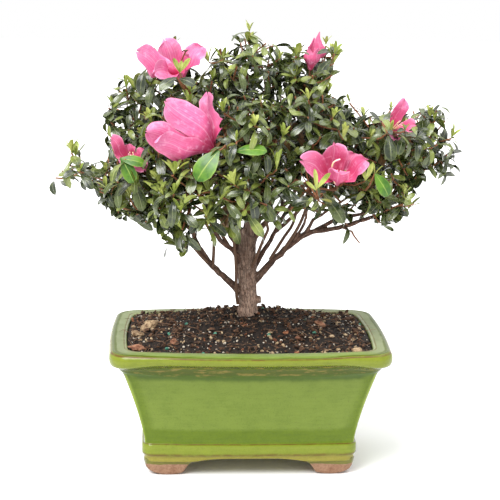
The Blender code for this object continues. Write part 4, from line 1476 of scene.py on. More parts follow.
@dataclass
class Pot:
    """The glazed pot: a shell with a rolled lip, sunk panels, a ledge and a skirt."""

    length: float = 206.5 * MM
    depth: float = 157 * MM
    height: float = 92 * MM
    middle_x: float = 1.1 * MM
    deeper: float = 4.5 * MM
    shoulder_bow: float = 0.8
    side_spread_foot: float = 2.1 * MM
    side_spread: float = 4.9 * MM
    lip_width: float = 13.5 * MM
    lip_thickness: float = 7.5 * MM
    lip_droop: float = 3.6 * MM
    rim_corner: float = 16 * MM
    bow_front: float = 8 * MM
    bow_side: float = 3 * MM
    wall: float = 7 * MM
    neck_height: float = 18.4 * MM
    waist_inset: float = 15.5 * MM
    waist_hollow: float = 0.35
    base_inset: float = 27.6 * MM
    base_corner: float = 8 * MM
    base_bow: float = 0.35
    ledge_height: float = 8.8 * MM
    ledge_proud: float = 1.3 * MM
    skirt_height: float = 2.2 * MM
    foot_height: float = 8.4 * MM
    floor_height: float = 19 * MM
    panel_depth: float = 1.1 * MM
    side_steps: int = 6
    corner_steps: int = 10
    front_steps: int = 10

    @property
    def ledge_top(self) -> float:
        """The height of the ledge's upper edge."""
        return self.foot_height + self.skirt_height + self.ledge_height

    @property
    def shoulder(self) -> float:
        """The height at which the neck ends and the body starts."""
        return self.height - self.neck_height

    def spread(self, height: float) -> float:
        """How much less the short sides are drawn in than the long ones.

        Args:
            height: The height.

        Returns:
            The difference there.
        """
        rise = max(0.0, (height - self.ledge_top - 5 * MM) / (50 * MM))
        under_lip = min(1.0, max(0.0, (self.height - 6 * MM - height) / (7 * MM)))
        return (self.side_spread_foot + self.side_spread * rise**1.25) * under_lip

    def quarter(self, half_x: float, half_y: float, bow: float, corner: float) -> list[tuple]:
        """A quarter of the outline, from the middle of a short side to near that of a long one.

        Args:
            half_x: Half the length there.
            half_y: Half the depth there.
            bow: The share of the rim's bow.
            corner: The corner's radius.

        Returns:
            For each point its X, its Y and how far along it is from the edge of the corner's rib.
        """
        bow_front, bow_side = self.bow_front * bow, self.bow_side * bow
        corner_x, corner_y = half_x - bow_side, half_y - bow_front
        tilt_front = math.atan(2 * bow_front / corner_x)
        tilt_side = math.atan(2 * bow_side / corner_y)
        normal_front = Vector((math.sin(tilt_front), math.cos(tilt_front)))
        normal_side = Vector((math.cos(tilt_side), math.sin(tilt_side)))
        across = normal_front.x * normal_side.y - normal_front.y * normal_side.x
        inset = Vector((normal_side.y - normal_front.y, normal_front.x - normal_side.x)) / across
        centre = Vector((corner_x, corner_y)) - corner * inset
        side_end = centre + corner * normal_side
        front_end = centre + corner * normal_front
        middle = self.side_steps + self.corner_steps // 2
        points = []
        for step in range(self.side_steps):
            share = 1 - (1 - step / self.side_steps) ** 1.8
            x = half_x - (half_x - side_end.x) * share**2
            points.append(Vector((x, side_end.y * share)))
        for step in range(self.corner_steps + 1):
            angle = tilt_side + (math.pi / 2 - tilt_front - tilt_side) * step / self.corner_steps
            points.append(centre + corner * Vector((math.cos(angle), math.sin(angle))))
        for step in range(1, self.front_steps):
            share = 1 - (step / self.front_steps) ** 1.8
            y = half_y - (half_y - front_end.y) * share**2
            points.append(Vector((front_end.x * share, y)))
        ways = [0.0]
        for before, after in zip(points, points[1:]):
            ways.append(ways[-1] + (after - before).length)
        edge = 0.3 * corner
        return [(p.x, p.y, abs(way - ways[middle]) - edge) for p, way in zip(points, ways)]

    def droop(self, station: Station) -> float:
        """How far the outside hangs lower at the pot's ends than in the middle.

        Args:
            station: The place on the section.

        Returns:
            The distance there.
        """
        down = (self.height - station.height) / MM
        downs = (0, 1, 3.5, 6.2, 9.4, 13.6, 18, 24, 81, 83.6)
        shares = (0, 0.2, 0.65, 1, 0.95, 0.3, -0.3, 0, 0, 0.85)
        return float(np.interp(down, downs, shares)) * self.lip_droop

    def outline(
        self, station: Station, sunk: float = 0.0, droop: float = 0.0
    ) -> tuple[list[Vector], list[float]]:
        """The whole outline at a station.

        Args:
            station: The place on the section.
            sunk: How far the panels are sunk there.
            droop: How far it hangs lower at the ends.

        Returns:
            Its points, and how far each is from the edge of a corner's rib.
        """
        corner = station.corner
        if corner is None:
            corner = self.rim_corner - 0.4 * station.inset
        half_x = self.length / 2 - station.inset + self.spread(station.height)
        half_y = self.depth / 2 - station.inset
        quarter = self.quarter(half_x, half_y, station.bow, corner)
        level, fall = (0.6, 0.35) if station.height > self.height / 2 else (0.36, 0.16)
        front = quarter[-1][0] + quarter[-1][2]
        points = quarter + [(0, half_y, front)]
        points += [(-x, y, rib) for x, y, rib in reversed(quarter[1:])]
        points += [(-half_x, 0, quarter[0][2])]
        points += [(-x, -y, rib) for x, y, rib in quarter[1:]] + [(0, -half_y, front)]
        points += [(x, -y, rib) for x, y, rib in reversed(quarter[1:])]
        ring = []
        for i, (x, y, rib) in enumerate(points):
            before, after = points[i - 1], points[(i + 1) % len(points)]
            inwards = Vector((before[1] - after[1], after[0] - before[0])).normalized()
            inwards *= sunk * smooth((rib + 1.2 * MM) / (2.6 * MM))
            height = station.height - droop * smooth((abs(x) / half_x - level) / fall)
            ring.append(Vector((x + self.middle_x + inwards.x, y + inwards.y, height)))
        return ring, [rib for _, _, rib in points]

    def body_station(self, share: float, name: str = "") -> Station:
        """A place on the body.

        Args:
            share: How far down it is, from the shoulder at 0 to the ledge at 1.
            name: Its name.

        Returns:
            The station.
        """
        drawn = share + self.waist_hollow * share * (1 - share)
        inset = self.waist_inset + (self.base_inset - self.waist_inset) * drawn
        height = self.shoulder + (self.ledge_top - self.shoulder) * share
        bow = self.shoulder_bow + (self.base_bow - self.shoulder_bow) * share
        return Station(inset, height, bow, None, name)

    def stations(self) -> list[Station]:
        """The whole section, from the middle of the inside to the underside.

        Returns:
            The stations in order.
        """
        stations = []
        for share in (1.0, 0.66, 0.33, 0.0):
            inside = self.body_station(share)
            height = self.shoulder + (self.floor_height - self.shoulder) * share
            stations.append(Station(inside.inset + self.wall, height, inside.bow))
        lip = self.lip_width / MM
        lip_and_neck = (
            (lip, self.lip_thickness / MM, 1),
            (lip, 2.4, 1),
            (lip - 0.3, 0.9, 1),
            (lip - 1.2, 0.2, 1),
            (lip - 2.2, 0, 1, "rim"),
            (9.5, 0, 1),
            (4.4, 0, 1),
            (3, 0.05, 1, "rim_edge"),
            (2, 0.35, 1),
            (0.9, 1.1, 1),
            (0.2, 2.2, 1),
            (0, 3.5, 1),
            (0.25, 4.9, 1),
            (1.1, 6.2, 1),
            (2.6, 7.2, 1, "lip_under"),
            (5.2, 8.2, 1),
            (8.6, 9.4, 1),
            (11.6, 11.2, 0.97),
            (13.4, 13.6, 0.93),
            (14.2, 16.2, 0.88),
            (14.6, 17.4, 0.85, "neck_bottom"),
            (14.9, 18.1, 0.83),
        )
        for inset, down, bow, *name in lip_and_neck:
            stations.append(Station(inset * MM, self.height - down * MM, bow, None, *name))
        for share in (0.0, 0.02, 0.05, 0.1, 0.2, 0.32, 0.45, 0.58, 0.7, 0.8, 0.89, 0.94, 0.97, 1.0):
            name = {0.0: "panel_top", 1.0: "ledge_top"}.get(share, "")
            stations.append(self.body_station(share, name))
        base, foot = self.base_inset, self.foot_height
        proud, top = base - self.ledge_proud, self.ledge_top
        bottom = top - self.ledge_height
        ledge_and_skirt = (
            (proud + 0.5 * MM, top - 0.1 * MM, 0.8),
            (proud + 0.1 * MM, top - 0.8 * MM, 0.3),
            (proud, top - 2.2 * MM, 0),
            (proud, bottom + 2.0 * MM, 0),
            (proud + 0.2 * MM, bottom + 0.9 * MM, 0, "ledge_bottom"),
            (proud + 1.1 * MM, bottom + 0.2 * MM, 0),
            (base + 0.4 * MM, bottom - 0.4 * MM, 0),
            (base + 0.2 * MM, foot + 1.2 * MM, 0),
            (base + 0.3 * MM, foot + 0.4 * MM, 0),
            (base + 1.2 * MM, foot, 0, "end"),
            (base + 12 * MM, foot, 0),
        )
        for inset, height, rounder, *name in ledge_and_skirt:
            corner = self.base_corner + rounder * MM
            stations.append(Station(inset, height, self.base_bow, corner, *name))
        return stations

    def build(self) -> None:
        """Lofts the shell, rounds it and glazes it."""
        stations = self.stations()
        rings, ribs, section, zones = [], [], [], {}
        along = 0.0
        for before, station in zip(stations[:1] + stations, stations):
            along += math.hypot(station.inset - before.inset, station.height - before.height)
            if station.name:
                zones[station.name] = along
            sunk = droop = 0.0
            if "rim" in zones:
                in_panel = smooth((self.shoulder - station.height) / (2.6 * MM))
                in_panel *= smooth((station.height - self.ledge_top) / (2 * MM))
                sunk, droop = self.panel_depth * in_panel, self.droop(station)
            ring, rib = self.outline(station, sunk, droop)
            rings.append(ring)
            ribs.append(rib)
            section.append(along)
        piece, rows = Bench.loft("pot_shell", rings)
        values = {name: [0.0] * len(piece.data.vertices) for name in ("section", "rib")}
        for row, way, rib in zip(rows, section, ribs):
            for number, off_rib in zip(row, rib):
                values["section"][number] = way
                values["rib"][number] = off_rib
        for name, numbers in values.items():
            Bench.write(piece, name, numbers)
        Bench.subdivide(piece, 1)
        middle = (self.middle_x + Bench.offset.x, Bench.offset.y)
        Bench.hand_over(piece, Glaze(zones, middle).material(), "glaze", ["pot"])


@dataclass
class Feet:
    """The four bracket feet of bare clay, drawn out and rounded off from the CAD's own."""

    pot: Pot
    sides: tuple[str, ...] = ("front_left", "front_right", "back_left", "back_right")
    edge: float = 2.6 * MM
    reach: float = 76.9 * MM
    length: float = 44 * MM
    depth_share: float = 0.955
    lowest: float = 0.4
    lift_outer: float = 5 * MM
    lift_inner: float = 10 * MM
    voxel: float = 0.7 * MM

    def shape(self, mesh: bpy.types.Mesh) -> None:
        """Draws a foot out towards the pot's middle, with its underside like a lens's.

        Args:
            mesh: The foot's mesh, changed in place.
        """
        pot = self.pot
        places = [vertex.co.x - pot.middle_x for vertex in mesh.vertices]
        side = 1 if max(places) > -min(places) else -1
        outer, inner = max(side * x for x in places), min(side * x for x in places)
        bottom = min(vertex.co.z for vertex in mesh.vertices)
        height = max(vertex.co.z for vertex in mesh.vertices) - bottom
        for vertex, x in zip(mesh.vertices, places):
            share = (outer - side * x) / (outer - inner)
            rise = (vertex.co.z - bottom) / height
            if share < self.lowest:
                lift = self.lift_outer * (1 - share / self.lowest) ** 2
            else:
                lift = self.lift_inner * ((share - self.lowest) / (1 - self.lowest)) ** 2.1
            vertex.co.x = pot.middle_x + side * (self.reach - self.length * share)
            vertex.co.y *= self.depth_share
            vertex.co.z = bottom + rise * (pot.foot_height - bottom) + lift * (1 - rise)

    def build(self) -> None:
        """Copies each foot, merges its loose triangles, rounds its edges and shapes it."""
        material = Clay().material()
        for side in self.sides:
            node = "foot_" + side
            foot = frame["nodes"][node].copy()
            foot.data = foot.data.copy()
            bpy.context.scene.collection.objects.link(foot)
            for key in list(foot.keys()):
                del foot[key]
            foot.parent = None
            foot.name = foot.data.name = "clay_" + node
            Bench.pick(foot)
            with Bench.edit():
                bpy.ops.mesh.remove_doubles(threshold=0.01 * MM)
                bpy.ops.mesh.dissolve_limited(angle_limit=math.radians(4))
            foot.data.transform(Matrix.Translation(-Bench.offset))
            Bench.modify(
                foot, "BEVEL", width=self.edge, segments=4, limit_method="ANGLE", angle_limit=0.9
            )
            Bench.modify(foot, "REMESH", mode="VOXEL", voxel_size=self.voxel)
            self.shape(foot.data)
            Bench.hand_over(foot, material, "bare_clay", [node])


# The soil


class Grain(Enum):
    """What the soil is made of, as name, count, least and greatest size in millimetres, and finish."""

    CRUMBS = ("soil_crumbs", 3600, 0.9, 3.2, (shade(20, 14, 10), shade(58, 43, 34)), 0.95)
    BARK_BITS = ("soil_bark_bits", 760, 1.8, 6.2, (shade(48, 32, 22), shade(112, 78, 54)), 0.9)
    RUST_BITS = ("soil_rust_bits", 150, 1.6, 5.0, (shade(110, 58, 34), shade(164, 108, 72)), 0.85)
    TAN_BITS = ("soil_tan_bits", 360, 0.9, 4.6, (shade(150, 122, 88), shade(216, 192, 156)), 0.85)
    PERLITE = ("soil_perlite", 560, 0.6, 2.5, (shade(204, 190, 168), shade(244, 236, 222)), 0.8)
    PELLETS = ("soil_pellets", 14, 2.9, 3.9, (shade(34, 108, 88), shade(104, 176, 148)), 0.5)


@dataclass
class Soil:
    """The potting soil, mounded to the trunk, with the bits that lie in it.

    Pellets are given by their place. Chips are given by the colour of their bark, their place,
    their length, breadth and height, all in millimetres, and their turn in radians.
    """

    pot: Pot
    below_rim: float = 5 * MM
    mound: float = 14.0 * MM
    middle: Vector = field(default_factory=lambda: Vector((0.7, 8, 0)) * MM)
    rings: int = 26
    fibres: int = 420
    margin: float = 1.5 * MM
    trunk_clear: float = 7 * MM
    off_wall: float = 0.3 * MM
    bank_back: float = 3.4 * MM
    bank_ends: float = 2.8 * MM
    bank_most: float = 4.3 * MM
    lump_height: float = 1.6 * MM
    clod_height: float = 1.0 * MM
    crumb_height: float = 0.7 * MM
    earth: Grit = Grit("potting_soil", shade(16, 11, 8), shade(48, 35, 26), 0.95, 2.5 * MM)
    fibre: Grit = Grit("dry_fibre", shade(84, 56, 38), shade(160, 122, 92), 0.85)
    tan: Grit = Grit("tan_bark", shade(120, 92, 64), shade(196, 168, 132), 0.85, 3 * MM)
    rust: Grit = Grit("rust_bark", shade(112, 66, 44), shade(178, 128, 98), 0.85, 3 * MM)
    pellets: tuple[tuple[float, float], ...] = (
        (-69, -55), (-59, -47), (-33, -55), (-38, 32), (15, -32), (49, -22)
    )
    chips: tuple[tuple[str, tuple, tuple, tuple], ...] = (
        ("tan", (-73, -1), (14.5, 8, 7), (0.2, -0.45, 0.5)),
        ("rust", (-80, -48), (12, 7.5, 4.5), (0.1, 0.2, 0.2)),
        ("tan", (-81, -15), (10.5, 6, 4), (0.1, -0.15, 2.9)),
        ("rust", (-54, -38), (5, 4, 5), (0.1, 0.1, 0.3)),
        ("rust", (55, -6), (10, 5.5, 3.4), (0.1, -0.3, 2.6)),
        ("tan", (77, -56), (7.5, 5, 4.5), (0.1, 0.1, 0.3)),
        ("tan", (55, -50), (8.5, 2.4, 2), (0, -0.15, 0.4)),
        ("rust", (36, -36), (8, 4, 2.6), (0.1, 0.3, 1.2)),
        ("tan", (-62, -60), (8, 4.4, 3), (0, 0.2, 2.6)),
    )

    def height(self, x: float, y: float) -> float:
        """The soil's height at a place, with its lumps.

        Args:
            x: The place's X.
            y: The place's Y.

        Returns:
            The height.
        """
        edge_x = self.pot.length / 2 - self.pot.lip_width
        edge_y = self.pot.depth / 2 - self.pot.lip_width
        off_x, off_y = x - self.middle.x, y - self.middle.y
        reach_x = edge_x + math.copysign(self.pot.middle_x - self.middle.x, off_x)
        reach_y = edge_y - math.copysign(self.middle.y, off_y)
        far = (abs(off_x / reach_x) ** 3 + abs(off_y / reach_y) ** 3) ** (1 / 3)
        share = min(1.0, max(0.0, (1 - far) / 0.88))
        rise = self.mound * math.sin(share * math.pi / 2) ** 1.25
        lumps = noise.noise(Vector((x, y, 0)) / (16 * MM)) * self.lump_height
        lumps += noise.noise(Vector((x, y, 9 * MM)) / (5 * MM)) * self.clod_height
        bank = smooth((y + 45 * MM) / (90 * MM)) * self.bank_back
        bank += smooth((abs(x) - 50 * MM) / (32 * MM)) * self.bank_ends
        bank = min(bank, self.bank_most)
        return self.pot.height - self.below_rim + bank + rise + lumps * (0.4 + 0.6 * share**0.5)

    def bed(self) -> Piece:
        """The soil's own body, under its lumpy top.

        Returns:
            The piece.
        """
        pot = self.pot
        inside, top = pot.lip_width + self.off_wall, pot.height - self.below_rim
        rings = []
        for share in (1.0, 0.5, 0.0):
            station = pot.body_station(share)
            height = pot.shoulder + (pot.floor_height + self.off_wall - pot.shoulder) * share
            inset = station.inset + pot.wall + self.off_wall
            rings.append(pot.outline(Station(inset, height, station.bow))[0])
        rings.append(pot.outline(Station(inside, pot.height - pot.lip_thickness))[0])
        edge = pot.outline(Station(inside, top))[0]
        for step in range(self.rings):
            ring = []
            for point in edge:
                place = point.lerp(Vector((*self.middle.xy, point.z)), step / self.rings)
                place.z = self.height(place.x, place.y)
                ring.append(place)
            rings.append(ring)
        piece, _ = Bench.loft("soil_bed", rings)
        Bench.subdivide(piece, 1)
        for vertex in piece.data.vertices:
            if vertex.co.z > top - 4 * MM:
                crumbs = noise.noise(vertex.co / (2.4 * MM)) + 0.6 * noise.noise(vertex.co / (1.1 * MM))
                vertex.co.z += crumbs * self.crumb_height
        return piece

    @staticmethod
    def ball(name: str, fineness: int, sizes: Sequence[float]) -> Piece:
        """A ball that is a unit across and then drawn out.

        Args:
            name: Its name.
            fineness: How finely it is divided.
            sizes: How far it is drawn out along each axis.

        Returns:
            The piece.
        """
        Bench.clear()
        bpy.ops.mesh.primitive_ico_sphere_add(subdivisions=fineness, radius=0.5)
        piece = Bench.named(name)
        with Bench.edit():
            bpy.ops.transform.resize(value=sizes)
        return piece

    def shard(self, dice: Dice, squash: float, ragged: float, fineness: int = 1) -> Pattern:
        """A broken bit about a unit across.

        Args:
            dice: The source of its ragged shape.
            squash: How thick it is.
            ragged: How far its points wander.
            fineness: How finely the ball that it starts from is divided.

        Returns:
            The pattern.
        """
        piece = self.ball("shard", fineness, (1.0, dice.uniform(0.32, 0.8), squash))
        for vertex in piece.data.vertices:
            vertex.co *= 1 + dice.uniform(-ragged, ragged)
        return Pattern.take(piece)

    def spot(self, dice: Dice) -> Vector:
        """A random place on the soil, inside the rim and clear of the trunk.

        Args:
            dice: The source of chance.

        Returns:
            The place.
        """
        reach_x = self.pot.length / 2 - self.pot.lip_width - self.margin
        reach_y = self.pot.depth / 2 - self.pot.lip_width - self.margin
        while True:
            x = dice.uniform(-reach_x, reach_x)
            y = dice.uniform(-reach_y, reach_y)
            rounded = (abs(x) / reach_x) ** 9 + (abs(y) / reach_y) ** 9
            x += self.pot.middle_x
            if rounded < 0.9 and (Vector((x, y, 0)) - self.middle).length > self.trunk_clear:
                return Vector((x, y, self.height(x, y)))

    def scatter(self, grain: Grain) -> Piece:
        """Lays one kind of bit over the soil.

        Args:
            grain: Which kind.

        Returns:
            The joined piece.
        """
        name, count, least, most, _, _ = grain.value
        dice = Dice(name)
        if grain is Grain.PELLETS:
            patterns = [self.shard(dice, 0.85, 0.04, 2) for _ in range(2)]
        elif grain is Grain.PERLITE:
            patterns = [self.shard(dice, 0.7, 0.25) for _ in range(4)]
        else:
            patterns = [self.shard(dice, dice.uniform(0.28, 0.6), 0.3) for _ in range(6)]
        heap = Heap(name, patterns)
        marked = [Vector((x, y, 0)) * MM for x, y in self.pellets] if grain is Grain.PELLETS else []
        for place in marked:
            place.z = self.height(place.x, place.y)
        for number in range(count):
            size = (least + (most - least) * dice.random() ** 1.8) * MM
            place = marked[number].copy() if number < len(marked) else self.spot(dice)
            place += UP * size * dice.uniform(-0.05, 0.35)
            turn = Euler((dice.gauss(0, 0.5), dice.gauss(0, 0.5), dice.uniform(0, math.tau)))
            matrix = Matrix.LocRotScale(place, turn, Vector((size, size, size)))
            heap.lay(dice.randrange(len(patterns)), matrix)
        return heap.build()

    def roots(self) -> Piece:
        """Fine dry fibres that lie on the soil.

        Returns:
            The joined piece.
        """
        rods = Rods("soil_fibres")
        dice = Dice("fibres")
        for _ in range(self.fibres):
            place = self.spot(dice) + UP * 0.9 * MM
            way = Vector((dice.gauss(0, 1), dice.gauss(0, 1), dice.uniform(0.0, 0.25))).normalized()
            bend = Vector((dice.gauss(0, 1), dice.gauss(0, 1), 0.3))
            length = dice.uniform(3, 12) * MM
            middle = place + way * length / 2 + bend * length * 0.14
            thick = dice.uniform(0.14, 0.3) * MM
            rods.add(Route([place, middle, place + way * length], (thick, thick * 0.5), 2.5 * MM), 4)
        return rods.build()

    def chip(self, place: Sequence[float], sizes: Sequence[float], turn: Sequence[float]) -> Piece:
        """One of the bigger chips of bark, half sunk in the soil.

        Args:
            place: Where it lies, in millimetres.
            sizes: Its length, breadth and height, in millimetres.
            turn: How it is turned, in radians.

        Returns:
            The chip.
        """
        piece = self.ball("soil_chip", 3, [size * MM for size in sizes])
        x, y = (number * MM for number in place)
        z = self.height(x, y) + sizes[2] * 0.35 * MM
        seed = Vector((x, y, 0)) * 900
        for vertex in piece.data.vertices:
            vertex.co *= 1 + 0.3 * noise.cell(vertex.co / (2.6 * MM) + seed) * 0.5
            vertex.co *= 1 + 0.24 * noise.noise(vertex.co / (3 * MM) + seed)
        piece.data.transform(Matrix.LocRotScale(Vector((x, y, z)), Euler(turn), None))
        return piece

    def build(self) -> None:
        """Makes the bed, scatters the bits and hands them all over."""
        Bench.hand_over(self.bed(), self.earth.material(), "soil", ["soil"])
        for grain in Grain:
            name, _, _, _, (dark, light), roughness = grain.value
            finish = Grit(name.replace("soil_", ""), dark, light, roughness, 2 * MM)
            crease = 50 if grain is Grain.PELLETS else 24
            Bench.hand_over(self.scatter(grain), finish.material(), "soil", crease=crease)
        Bench.hand_over(self.roots(), self.fibre.material(), "soil")
        for kind, finish in (("tan", self.tan), ("rust", self.rust)):
            chips = [self.chip(*sizes) for name, *sizes in self.chips if name == kind]
            piece = Bench.join(f"soil_{kind}_chips", chips)
            Bench.hand_over(piece, finish.material(), "soil", crease=24)


# The trunk and the limbs


@dataclass
class Wood:
    """The trunk and the limbs in one skin of bark, with a collar where each limb leaves.

    The trunk's line holds rise, X and radius, in millimetres, from its foot up. The knob and the
    leader are given by steps from the trunk's top and two radii, also in millimetres.
    """

    seat: float = 103 * MM
    middle: tuple[float, float] = (0.7 * MM, 8 * MM)
    trunk_line: tuple[Triple, ...] = (
        (0, 0.8, 9.2),
        (3.6, 1.0, 8.2),
        (8.6, 1.4, 7.5),
        (26.6, 0.5, 6.9),
        (44.6, 0.2, 6.6),
        (56.6, 0.3, 6.7),
        (62.6, 0.6, 5.2),
    )
    knob_line: tuple[Triple, ...] = ((-1, -2, -4), (-3.6, -5, 0.5), (-4.8, -6, 3.5))
    knob_radii: tuple[float, float] = (3.2, 2.4)
    leader_line: tuple[Triple, ...] = ((0, 0, -8), (1.2, -0.5, 4), (2.6, -1, 14), (4.5, -0.5, 28))
    leader_radii: tuple[float, float] = (5.8, 3.2)
    stub_way: Triple = (0.93, -0.3, 0.2)
    stub_radii: tuple[float, float] = (3.6, 3.0)
    stub_height: float = 10 * MM
    stub_reach: float = 2.4 * MM
    root_height: float = 14 * MM
    root_count: int = 5
    root_groove: float = 0.2
    trunk_swell: float = 0.06
    trunk_sides: int = 20
    limb_sides: int = 12
    joint_gap: float = 0.345 * MM
    sunk: float = 5 * MM
    slimness: float = 0.86
    collar: float = 0.32
    collar_reach: float = 1.4
    knuckle: float = 0.26
    voxel: float = 0.5 * MM
    relief: float = 0.5 * MM
    plate: tuple[float, float] = (2.0 * MM, 8 * MM)
    lump: tuple[float, float] = (5 * MM, 7 * MM)
    full_relief_girth: float = 5.5 * MM
    routes: dict[str, Route] = field(default_factory=dict)

    def lay_routes(self) -> None:
        """Works out the lines of the trunk and the limbs by the CAD's own rule."""
        foot = self.seat + 0.3 * MM
        points = [Vector((x * MM, self.middle[1], foot + rise * MM)) for rise, x, _ in self.trunk_line]
        radii = [radius * MM for _, _, radius in self.trunk_line]
        self.routes["trunk"] = Route(points, radii, 1.0)
        for name, limb in LIMBS.items():
            parent = self.routes[limb.parent]
            start = parent.at(limb.start)[0] + mm(limb.shift)
            bends = [mm(bend) for bend in limb.bends]
            foot_radius, tip_radius = (radius * MM for radius in limb.radii)
            direction = (bends[0] - start).normalized()
            place = start + direction * foot_radius
            while limb.start < 1.0 and parent.clearance(place) < self.joint_gap:
                place += direction * 0.5 * MM
            self.routes[name] = Route([place] + bends, (foot_radius, tip_radius))

    def trunk(self) -> list[Piece]:
        """The trunk with its root flare, its short stub, its healed knob and its leader.

        Returns:
            A tube for each.
        """
        route = self.routes["trunk"]
        fine = Route(route.points, (1, 1), 3 * MM)
        fine.radii = []
        for point in fine.points:
            rise = (point.z - route.points[0].z) / MM
            line = self.trunk_line
            i = max(k for k in range(len(line) - 1) if line[k][0] <= rise + 0.01)
            t = (rise - line[i][0]) / (line[i + 1][0] - line[i][0])
            fine.radii.append((line[i][2] + (line[i + 1][2] - line[i][2]) * t) * MM)
        rings = fine.rings(self.trunk_sides)
        for point, ring in zip(fine.points, rings):
            rise = point.z - fine.points[0].z
            flare = smooth(1 - rise / self.root_height)
            for k, place in enumerate(ring):
                angle = math.tau * k / self.trunk_sides
                groove = 0.5 + 0.5 * math.cos(self.root_count * angle + 0.6)
                swell = self.trunk_swell * math.sin(2 * angle + point.z / (9 * MM))
                ring[k] = point.lerp(place, 1 + swell - self.root_groove * flare * groove)
        base = [place - UP * self.sunk for place in rings[0]]
        for place in rings[0] + base:
            place.z = min(place.z, rings[0][0].z)
        body, _ = Bench.loft("trunk_bark", [base] + rings)
        centre, radius = route.at(self.stub_height / route.length)
        stub_end = centre + Vector(self.stub_way) * (radius + self.stub_reach)
        stub = [centre, centre.lerp(stub_end, 0.8), stub_end]
        top = route.points[-1]
        knob = [top + mm(step) for step in self.knob_line]
        leader = [top + mm(step) for step in self.leader_line]
        pieces = [body]
        for name, line, sizes in (
            ("stub", stub, self.stub_radii),
            ("knob", knob, self.knob_radii),
            ("leader", leader, self.leader_radii),
        ):
            radii = tuple(size * MM for size in sizes)
            rings = Route(line, radii, 1.2 * MM).rings(self.limb_sides)
            pieces.append(Bench.loft(name, rings)[0])
        return pieces

    def limb(self, name: str, limb: Limb) -> Piece:
        """One limb, run on into its parent and swollen to a collar there.

        Args:
            name: The limb's name.
            limb: Its sizes.

        Returns:
            Its tube.
        """
        route = self.routes[name]
        parent = self.routes[limb.parent]
        heart, heart_radius = parent.at(min(limb.start, 0.985))
        inside = route.points[0].lerp(heart, 0.75 if limb.start < 1 else 0.0)
        run = Route([inside] + route.points, (1, 1), 100.0)
        foot, tip = limb.radii
        dice = Dice(name)
        for i, reached in enumerate(run.reached):
            past = max(0.0, reached - run.reached[1])
            share = past / (run.length - run.reached[1])
            radius = (foot + (tip - foot) * share) * self.slimness * MM
            swell = 1 + self.collar * math.exp(-past / (self.collar_reach * foot * MM))
            knuckle = 1 + self.knuckle * max(0.0, noise.noise(Vector((past / (7 * MM), foot, tip))))
            run.radii[i] = min(radius * swell, heart_radius * 1.02) * knuckle
            if i > 1:
                run.points[i] = run.points[i] + any_way(dice) * 0.26 * MM
        tube, _ = Bench.loft(name + "_bark", run.rings(self.limb_sides))
        return tube

    def grain(self, points: np.ndarray) -> tuple[np.ndarray, np.ndarray]:
        """Finds, for each point of the skin, the limb that it belongs to.

        Args:
            points: The points.

        Returns:
            How far round and along its limb each point is, with its limb's number, and the radius
            there.
        """
        nearest = np.full(len(points), np.inf)
        grain = np.zeros((len(points), 3))
        girth = np.zeros(len(points))
        for number, route in enumerate(self.routes.values()):
            frames = route.frames()
            for i in range(len(route.points) - 1):
                a, b = np.array(route.points[i]), np.array(route.points[i + 1])
                line = b - a
                t = np.clip((points - a) @ line / (line @ line), 0, 1)
                off = points - a - t[:, None] * line
                radius = route.radii[i] + (route.radii[i + 1] - route.radii[i]) * t
                gap = np.linalg.norm(off, axis=1) - radius
                closer = gap < nearest
                across, other = (np.array(way) for way in frames[i])
                angle = np.arctan2(off @ other, off @ across)
                reached = route.reached[i] + t * np.linalg.norm(line)
                found = np.stack((angle * radius, reached, np.full(len(points), number * 0.05)), 1)
                grain[closer] = found[closer]
                girth[closer] = radius[closer]
                nearest[closer] = gap[closer]
        return grain, girth

    def build(self) -> None:
        """Joins trunk and limbs, welds them into one skin and carves the bark."""
        pieces = self.trunk() + [self.limb(name, limb) for name, limb in LIMBS.items()]
        piece = Bench.join("bark_skin", pieces)
        Bench.modify(piece, "REMESH", mode="VOXEL", voxel_size=self.voxel, use_smooth_shade=True)
        Bench.modify(piece, "SMOOTH", factor=0.5, iterations=4)
        mesh = piece.data
        points, normals = Bench.read(mesh, "co"), Bench.read(mesh, "normal")
        grain, girth = self.grain(points)
        depth = np.zeros(len(points))
        for i, (round_way, along, number) in enumerate(grain):
            radius = max(girth[i], 0.8 * MM)
            turn = round_way / radius
            places = []
            for (wide, long), shift in ((self.plate, 90), (self.lump, 70)):
                x, y = math.cos(turn) * radius / wide, math.sin(turn) * radius / wide
                places.append(Vector((x, y, along / long + number * shift)))
            fissure = 1 - abs(noise.noise(places[0])) * 3.2
            share = min(1.0, girth[i] / self.full_relief_girth)
            depth[i] = -max(0.0, fissure) * self.relief * share
            depth[i] += noise.noise(places[1]) * 0.55 * MM * share
        points += normals * depth[:, None]
        mesh.vertices.foreach_set("co", points.ravel())
        mesh.update()
        layer = mesh.attributes.new("grain", "FLOAT_VECTOR", "POINT")
        layer.data.foreach_set("vector", grain.astype(np.float32).ravel())
        Bench.write(piece, "girth", girth)
        Bench.hand_over(piece, Bark().material(), "bark", ["trunk", *LIMBS])


# The crown


